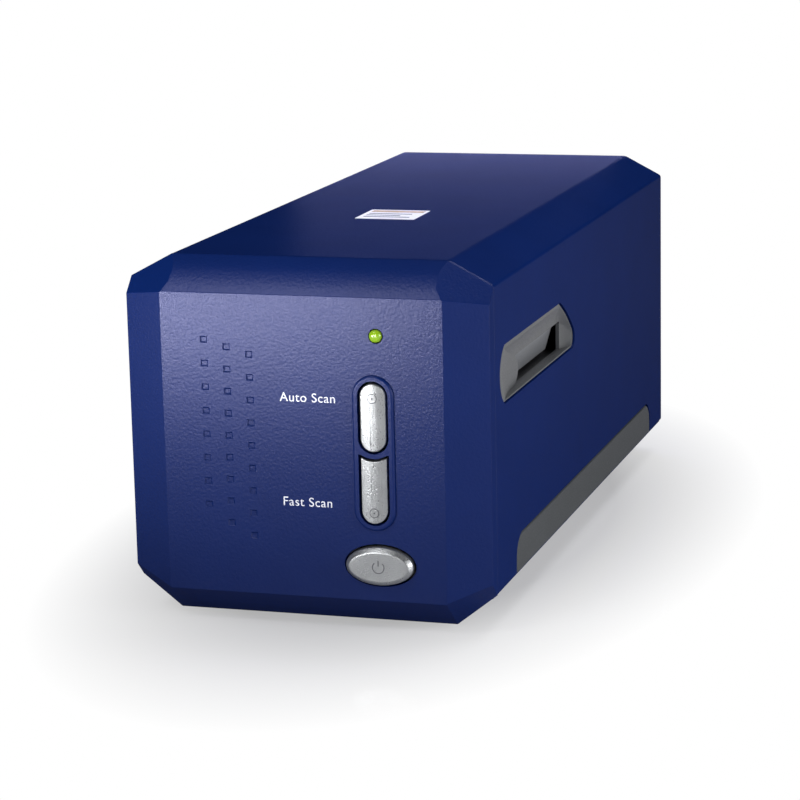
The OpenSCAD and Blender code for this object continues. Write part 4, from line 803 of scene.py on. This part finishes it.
def mouth_outline():
    """The opening's corners, matched one to one with the surround's outline."""
    y0, y1 = Y_SLOT - SLOT_HALF, Y_SLOT + SLOT_HALF
    arc_steps, crest_steps, tip_steps = SLOT_STEPS
    # The opening's front end bows back by 4.2 mm, and its rear upper corner is cut by 0.2 mm.
    points = [(y0 + 4.2 * math.sin(math.pi * i / arc_steps) - 0.8,
               SLOT_Z0 + (SLOT_Z1 - SLOT_Z0) * i / arc_steps) for i in range(arc_steps + 1)]
    for i in range(crest_steps + 1):
        t = (i + 1) / (crest_steps + 1)
        points.append((y1 - 5.0 * (1 - t), SLOT_Z1) if t < 1 else (y1, SLOT_Z1 - 0.2))
    for i in range(tip_steps):
        t = (i + 1) / tip_steps
        points.append((y1, SLOT_Z1 - 0.2 - (SLOT_Z1 - 0.2 - SLOT_Z0) * t))
    return points


def scoop_tool():
    """What hollows the surround: from its rim inwards in a quarter wave to the opening."""
    rim, mouth = slot_outline(-0.75), mouth_outline()
    top = X_RIM + 0.3
    rings = [[(X_RIM + 1.5, y, z) for y, z in rim]]
    for step in range(SCOOP_STEPS + 1):
        t = step / SCOOP_STEPS
        inward = math.sin(t * math.pi / 2) ** 0.9
        rings.append([(top - (top - X_MOUTH) * inward, a[0] + (b[0] - a[0]) * t, a[1] + (b[1] - a[1]) * t)
                      for a, b in zip(rim, mouth)])
    rings.append([(X_FLANGE - 1, y, z) for y, z in mouth])
    return loft("scoop", rings)


def make_slot():
    body = plate("slot_surround_right", slot_outline(0), "X", X_MOUTH, X_RIM)
    round_edges(body, 0.35, lambda a, b: min(a.x, b.x) > X_RIM - 0.1, angle=60)
    lugs = [block("lug", (HINGE_X - 2.2, Y_SLOT + y, HINGE_Z - 2.2),
                  (X_FLANGE + 0.3, Y_SLOT + y + 3, HINGE_Z + 2.2)) for y in (-34, 31)]
    for lug in lugs:
        round_edges(lug, 0.5, lambda a, b: max(a.x, b.x) < X_FLANGE)
    combine(body, "UNION", plate("flange", slot_outline(2), "X", X_FLANGE, X_MOUTH), *lugs)
    combine(body, "DIFFERENCE", scoop_tool(),
            block("flap_room", (X_FLANGE - 1, Y_SLOT - 31, SLOT_Z1 - 0.6),
                  (X_MOUTH - 0.2, Y_SLOT + 31, HINGE_Z + 2.7)),
            rod("pin_bore", "Y", (HINGE_X, Y_SLOT, HINGE_Z), 0.8, 80, 24))
    round_edges(body, 0.2, lambda a, b: min(a.x, b.x) > X_RIM - 0.03, angle=40)
    left = copy_of(body, "slot_surround_left", mirror=True)
    dress(body, "slot_grey", nodes=["slot_bezel_right"], angle=40)
    dress(left, "slot_grey", nodes=["slot_bezel_left"], angle=40)

    y0, y1 = FLAP_Y
    half = FLAP_T / 2
    flap = rod("flap_right", "Y", (0, (y0 + KNUCKLE_END) / 2, 0), KNUCKLE_R, KNUCKLE_END - y0, 32)
    leaf = block("leaf", (-half, y0, 0.1 - FLAP_H), (half, y1, -KNUCKLE_R - 0.7))
    round_edges(leaf, 0.45)
    web = block("web", (-half, y0, -KNUCKLE_R - 2), (half, KNUCKLE_END, 0))
    combine(flap, "UNION", leaf, web)
    combine(flap, "DIFFERENCE", rod("bore", "Y", (0, 0, 0), PIN_HOLE, 80, 24))
    shift(flap, HINGE_X, Y_SLOT, HINGE_Z, (0, math.radians(FLAP_LEAN), 0))
    left = copy_of(flap, "flap_left", mirror=True)
    dress(flap, "flap_grey", "dust_flap_right", ["dust_flap_right"])
    dress(left, "flap_grey", "dust_flap_left", ["dust_flap_left"])


# ---------------- cover, base, strips, feet and rear

def strip_outline(grow):
    """A side strip's outline in Y and Z: flat below, round at its upper corners."""
    y0, y1 = STRIP_Y[0] - grow, STRIP_Y[1] + grow
    top, radius = STRIP_TOP + grow, STRIP_R + grow
    points = [(y0, Z_SIDE), (y0, top - radius)]
    for y, start in ((y0 + radius, 180), (y1 - radius, 90)):
        for i in range(1, 15):
            a = math.radians(start - 90 * i / 15)
            points.append((y + radius * math.cos(a), top - radius + radius * math.sin(a)))
    return points + [(y1, top - radius), (y1, Z_SIDE)]


def make_cover():
    cover = casing("cover", 0, Y_CASE, Y_REAR, z0=Z_SIDE)
    round_edges(cover, EDGE_R, lambda a, b: abs(a.y - b.y) > 100 and min(a.z, b.z) > Z_SIDE + 1)
    round_edges(cover, SEAM_R, lambda a, b: abs(a.y - b.y) < 1 and min(a.z, b.z) > Z_SIDE - 1,
                angle=60, segments=2)
    cuts = [casing("inside", WALL, Y_CASE - 1, Y_REAR + 1)]
    for side in (1, -1):
        outer, inner = side * (HALF_W + 2), side * (HALF_W - WALL - 1)
        seat = side * (HALF_W - STRIP_T)
        cuts.append(plate("slot_hole", slot_outline(0.2), "X", *sorted((inner, outer))))
        cuts.append(plate("strip_seat", strip_outline(STRIP_GAP), "X", *sorted((seat, outer))))
    half = LABEL_W / 2 + 0.1
    cuts.append(block("label_seat", (-half, LABEL_Y - half, CASE_H - LABEL_T),
                      (half, LABEL_Y + half, CASE_H + 1)))
    combine(cover, "DIFFERENCE", *cuts)
    dress(cover, "blue_shell", nodes=["top_cover"])


def make_base():
    base = casing("base", 0, Y_CASE, Y_REAR, z1=Z_SIDE - 0.15)
    round_edges(base, EDGE_R, lambda a, b: abs(a.y - b.y) > 100 and max(a.z, b.z) < Z_SIDE - 1)
    round_edges(base, SEAM_R, lambda a, b: abs(a.y - b.y) < 1, angle=60, segments=2)
    combine(base, "DIFFERENCE", casing("inside", WALL, Y_CASE - 1, Y_REAR + 1, z1=Z_SIDE + 5))
    middle, height = sum(BOSS_Z) / 2, BOSS_Z[1] - BOSS_Z[0]
    bosses = join(*[rod("boss", "Z", (x, y, middle), BOSS_R, height) for x, y in SCREWS])
    combine(bosses, "INTERSECT", casing("outside", 0.01, Y_CASE + 0.1, Y_REAR - 0.1))
    combine(base, "UNION", bosses)
    combine(base, "DIFFERENCE",
            *[rod("screw_well", "Z", (x, y, 4), WELL_R, 11) for x, y in SCREWS],
            *[rod("foot_seat", "Z", (x, y, FOOT_H), FOOT_R + FOOT_GAP, 2) for x, y in FEET])
    dress(base, "blue_shell", nodes=["base_pan"])


def make_strips():
    strip = plate("strip_right", strip_outline(0), "X", HALF_W - STRIP_T, HALF_W)
    round_edges(strip, STRIP_EDGE, lambda a, b: min(a.x, b.x) > HALF_W - 0.1, angle=60, segments=5)
    left = copy_of(strip, "strip_left", mirror=True)
    dress(strip, "strip_rubber", nodes=["side_strip_right"])
    dress(left, "strip_rubber", nodes=["side_strip_left"])


def make_feet():
    feet = [rod("foot", "Z", (x, y, FOOT_T / 2), FOOT_R, FOOT_T) for x, y in FEET]
    for foot in feet:
        round_edges(foot, 0.5, lambda a, b: max(a.z, b.z) < 0.1, angle=60)
    dress(join_as("feet", *feet), "foot_rubber", nodes=["rubber_feet"])


def make_panel():
    panel = casing("panel", PANEL_IN, *PANEL_Y)
    low, high = SOCKET_Z[0] - SOCKET_GAP, SOCKET_Z[1] + SOCKET_GAP
    combine(panel, "DIFFERENCE",
            *[block("hole", (x - w / 2 - SOCKET_GAP, 130, low), (x + w / 2 + SOCKET_GAP, 135, high))
              for x, w in SOCKETS])
    round_edges(panel, 0.3, lambda a, b: min(a.y, b.y) > PANEL_Y[1] - 0.1, angle=60)
    dress(panel, "black_panel", nodes=["rear_panel"])


# ---------------- buttons, lamp and prints

def ring(name, x, y, z, radius, thick, flat=None):
    """A thin printed circle, or one left open above a height."""
    bpy.ops.mesh.primitive_torus_add(major_radius=radius * MM, minor_radius=thick / 2 * MM,
                                     major_segments=48, minor_segments=8,
                                     location=at(x, y, z), rotation=TURN["Y"])
    bpy.context.object.scale.z = 0.3
    obj = settle(name)
    if flat is not None:
        slice_off(obj, (x, y, z + flat), (0, 0, 1))
    return obj


def crown(obj, centre, radius, front, back):
    """Curves a cap's face across its width, fading out towards its back."""
    for step in range(-CROWN_CUTS, CROWN_CUTS + 1):
        edit(obj)
        bpy.ops.mesh.bisect(plane_co=at(centre + step * CROWN_CUT, 0, 0), plane_no=(1, 0, 0))
        leave()
    for corner in obj.data.vertices:
        off = corner.co.x / MM - centre
        share = min(1, max(0, (back - corner.co.y / MM) / (back - front)))
        corner.co.y += share * (radius - math.sqrt(radius ** 2 - off ** 2)) * MM


def add_flange(body, x, z, half_w, half_h):
    """The black flange that keeps a button in, with its stem."""
    flange = block(body.replace("button", "flange"), (x - half_w, CAP_BACK - 0.01, z - half_h),
                   (x + half_w, CAP_BACK + FLANGE_T, z + half_h))
    round_edges(flange, 0.3)
    combine(flange, "UNION", rod("stem", "Y", (x, STEM_Y, z), STEM_R, STEM_L, 32))
    dress(flange, "black_plastic", body)


def make_scan_buttons():
    """The two long caps, crowned and grooved, with their flanges and printed rings."""
    face, slim = Y_FRONT - SCAN_PROUD, CAP_SLIM
    outline = pill(SCAN_R - slim, UPPER[0] + slim, UPPER[1] - slim)
    upper = plate("upper_cap", outline, "Y", face, CAP_BACK)
    lower = plate("lower_cap", hollow_pill(-slim), "Y", face, CAP_BACK)
    # Each cap, its ends, its body, its ring's height and its grooves' ends
    for cap, span, body, icon_z, (low, high) in (
            (upper, UPPER, "upper_scan_button", 76.4, (60.5, 74.0)),
            (lower, LOWER, "lower_scan_button", 39.7, (42.0, 55.0))):
        round_edges(cap, 0.55, lambda a, b: max(a.y, b.y) < face + 0.1, angle=60, segments=4)
        crown(cap, SCAN_X - CROWN_SHIFT, CROWN_R, face, CAP_BACK)
        grooves = [block("groove", (SCAN_X + x - GROOVE_HALF, face - 1, low),
                         (SCAN_X + x + GROOVE_HALF, face + GROOVE_DEPTH, high))
                   for x in (-GROOVE_X, GROOVE_X)]
        combine(cap, "DIFFERENCE", *grooves)
        dress(cap, "silver_button", body, [body])
        half_h = (span[1] - span[0]) / 2 - SCAN_R - 0.6
        add_flange(body, SCAN_X, sum(span) / 2, SCAN_R + 2, half_h)
        icon = join_as(body.replace("button", "icon"),
                       ring("icon", SCAN_X, face + 0.02, icon_z, ICON_R, ICON_LINE),
                       rod("dot", "Y", (SCAN_X, face, icon_z), ICON_LINE, 0.14, 16))
        dress(icon, "silver_button", body, look="dark_print")


def make_power_button():
    """The oval cap with its slanting rim, its flange and the sign printed on it."""
    face = Y_FRONT - POWER_PROUD
    cap = plate("power_cap", oval(-POWER_SLIM), "Y", face, CAP_BACK)
    round_edges(cap, POWER_RIM, lambda a, b: max(a.y, b.y) < face + 0.1, angle=60, segments=1)
    round_edges(cap, 0.3, lambda a, b: max(a.y, b.y) < Y_FRONT - 0.5, angle=30, segments=3)
    dress(cap, "silver_button", "power_button", ["power_button"])
    add_flange("power_button", POWER_X, POWER_Z, POWER_HALF_W + 2.4, POWER_HALF_H - 1.5)
    half = SIGN_LINE / 2
    sign = join_as("power_sign", ring("sign", POWER_X, face, POWER_Z, SIGN_R, SIGN_LINE, flat=1.35),
                   block("bar", (POWER_X - half, face - 0.1, POWER_Z + 0.4),
                         (POWER_X + half, face + 0.1, POWER_Z + 2.2)))
    dress(sign, "silver_button", "power_button", look="dark_print")


def make_lamp_window():
    y0, y1 = LAMP_Y
    window = rod("lamp_window", "Y", (LAMP_X, (y0 + y1) / 2, LAMP_Z), LAMP_R, y1 - y0, 40)
    round_edges(window, 1.5, lambda a, b: max(a.y, b.y) < Y_FRONT - 0.5, angle=60, segments=6)
    dress(window, "green_window", nodes=["led_light_pipe"])


def make_legends():
    """The generic words printed on the face beside the long buttons."""
    for name, words, z in LEGENDS:
        bpy.ops.object.text_add(location=at(LEGEND_X, Y_FRONT, z), rotation=TURN["Y"])
        word = bpy.context.object
        word.data.body = words
        # A capital letter is 0.7 of the font's size.
        word.data.size = LEGEND_H * MM / 0.7
        word.data.extrude = PRINT_T * MM
        word.data.space_character = 1.08
        bpy.ops.object.convert(target="MESH")
        word = settle(name)
        edit(word)
        bpy.ops.mesh.remove_doubles(threshold=0.001 * MM)
        mend(word)
        dress(word, "blue_shell", look="white_print")


def make_sticker():
    """The white sticker in its shallow seat, with an ochre band and three bars in place of words."""
    half, low = LABEL_W / 2, CASE_H - 0.1
    label = block("sticker", (-half, LABEL_Y - half, CASE_H - LABEL_T),
                  (half, LABEL_Y + half, CASE_H - PRINT_T))
    hold(label, "EDGE", lambda a, b: abs(a.z - b.z) > 0.05)
    bpy.ops.mesh.bevel(offset=LABEL_R * MM, segments=5, affect="EDGES")
    leave()
    dress(label, "sticker", nodes=["top_label"])
    band = block("sticker_band", (1.2 - half, LABEL_Y + 5.0, low), (half - 1.2, LABEL_Y + 9.0, CASE_H))
    dress(band, "sticker", look="gold_print")
    bars = [block("bar", (-8.8, LABEL_Y + y - 0.7, low), (end, LABEL_Y + y + 0.7, CASE_H))
            for y, end in ((1.5, 6.5), (-2.0, 3.2), (-5.5, 7.6))]
    dress(join_as("sticker_bars", *bars), "sticker", look="dark_print")


def make_springs():
    """A round wire wound to a coil by the screw modifier."""
    y0, y1 = SPRING_Y
    bpy.ops.mesh.primitive_circle_add(vertices=10, radius=SPRING_WIRE / 2 * MM,
                                      location=at(SPRING_R, 0, 0), rotation=TURN["Y"])
    coil = settle("flap_spring_right_coil")
    wind = coil.modifiers.new("wind", "SCREW")
    wind.axis, wind.iterations, wind.steps, wind.render_steps = "Z", SPRING_TURNS, 20, 20
    wind.screw_offset = (y1 - y0 - SPRING_WIRE) / SPRING_TURNS * MM
    wind.use_merge_vertices = True
    take(coil)
    bpy.ops.object.modifier_apply(modifier=wind.name)
    edit(coil)
    bpy.ops.mesh.fill_holes(sides=0)
    mend(coil)
    shift(coil, HINGE_X, Y_SLOT + y0 + SPRING_WIRE / 2, HINGE_Z, (-math.pi / 2, 0, 0))
    left = copy_of(coil, "flap_spring_left_coil", mirror=True)
    dress(coil, "bright_steel", nodes=["flap_spring_right"], angle=60)
    dress(left, "bright_steel", nodes=["flap_spring_left"], angle=60)


def finish_frame():
    """Every CAD node gets the finish of its slot."""
    slots = {row["node"]: row["material_slot"] for row in frame["record"]["subparts"]}
    for name, node in frame["nodes"].items():
        node.data.materials.clear()
        node.data.materials.append(finishes[slots[name]])


aim_camera()
build_stage()
finishes = make_materials()
finish_frame()
make_bezel()
make_cover()
make_base()
make_strips()
make_feet()
make_panel()
make_slot()
make_scan_buttons()
make_power_button()
make_lamp_window()
make_legends()
make_sticker()
make_springs()
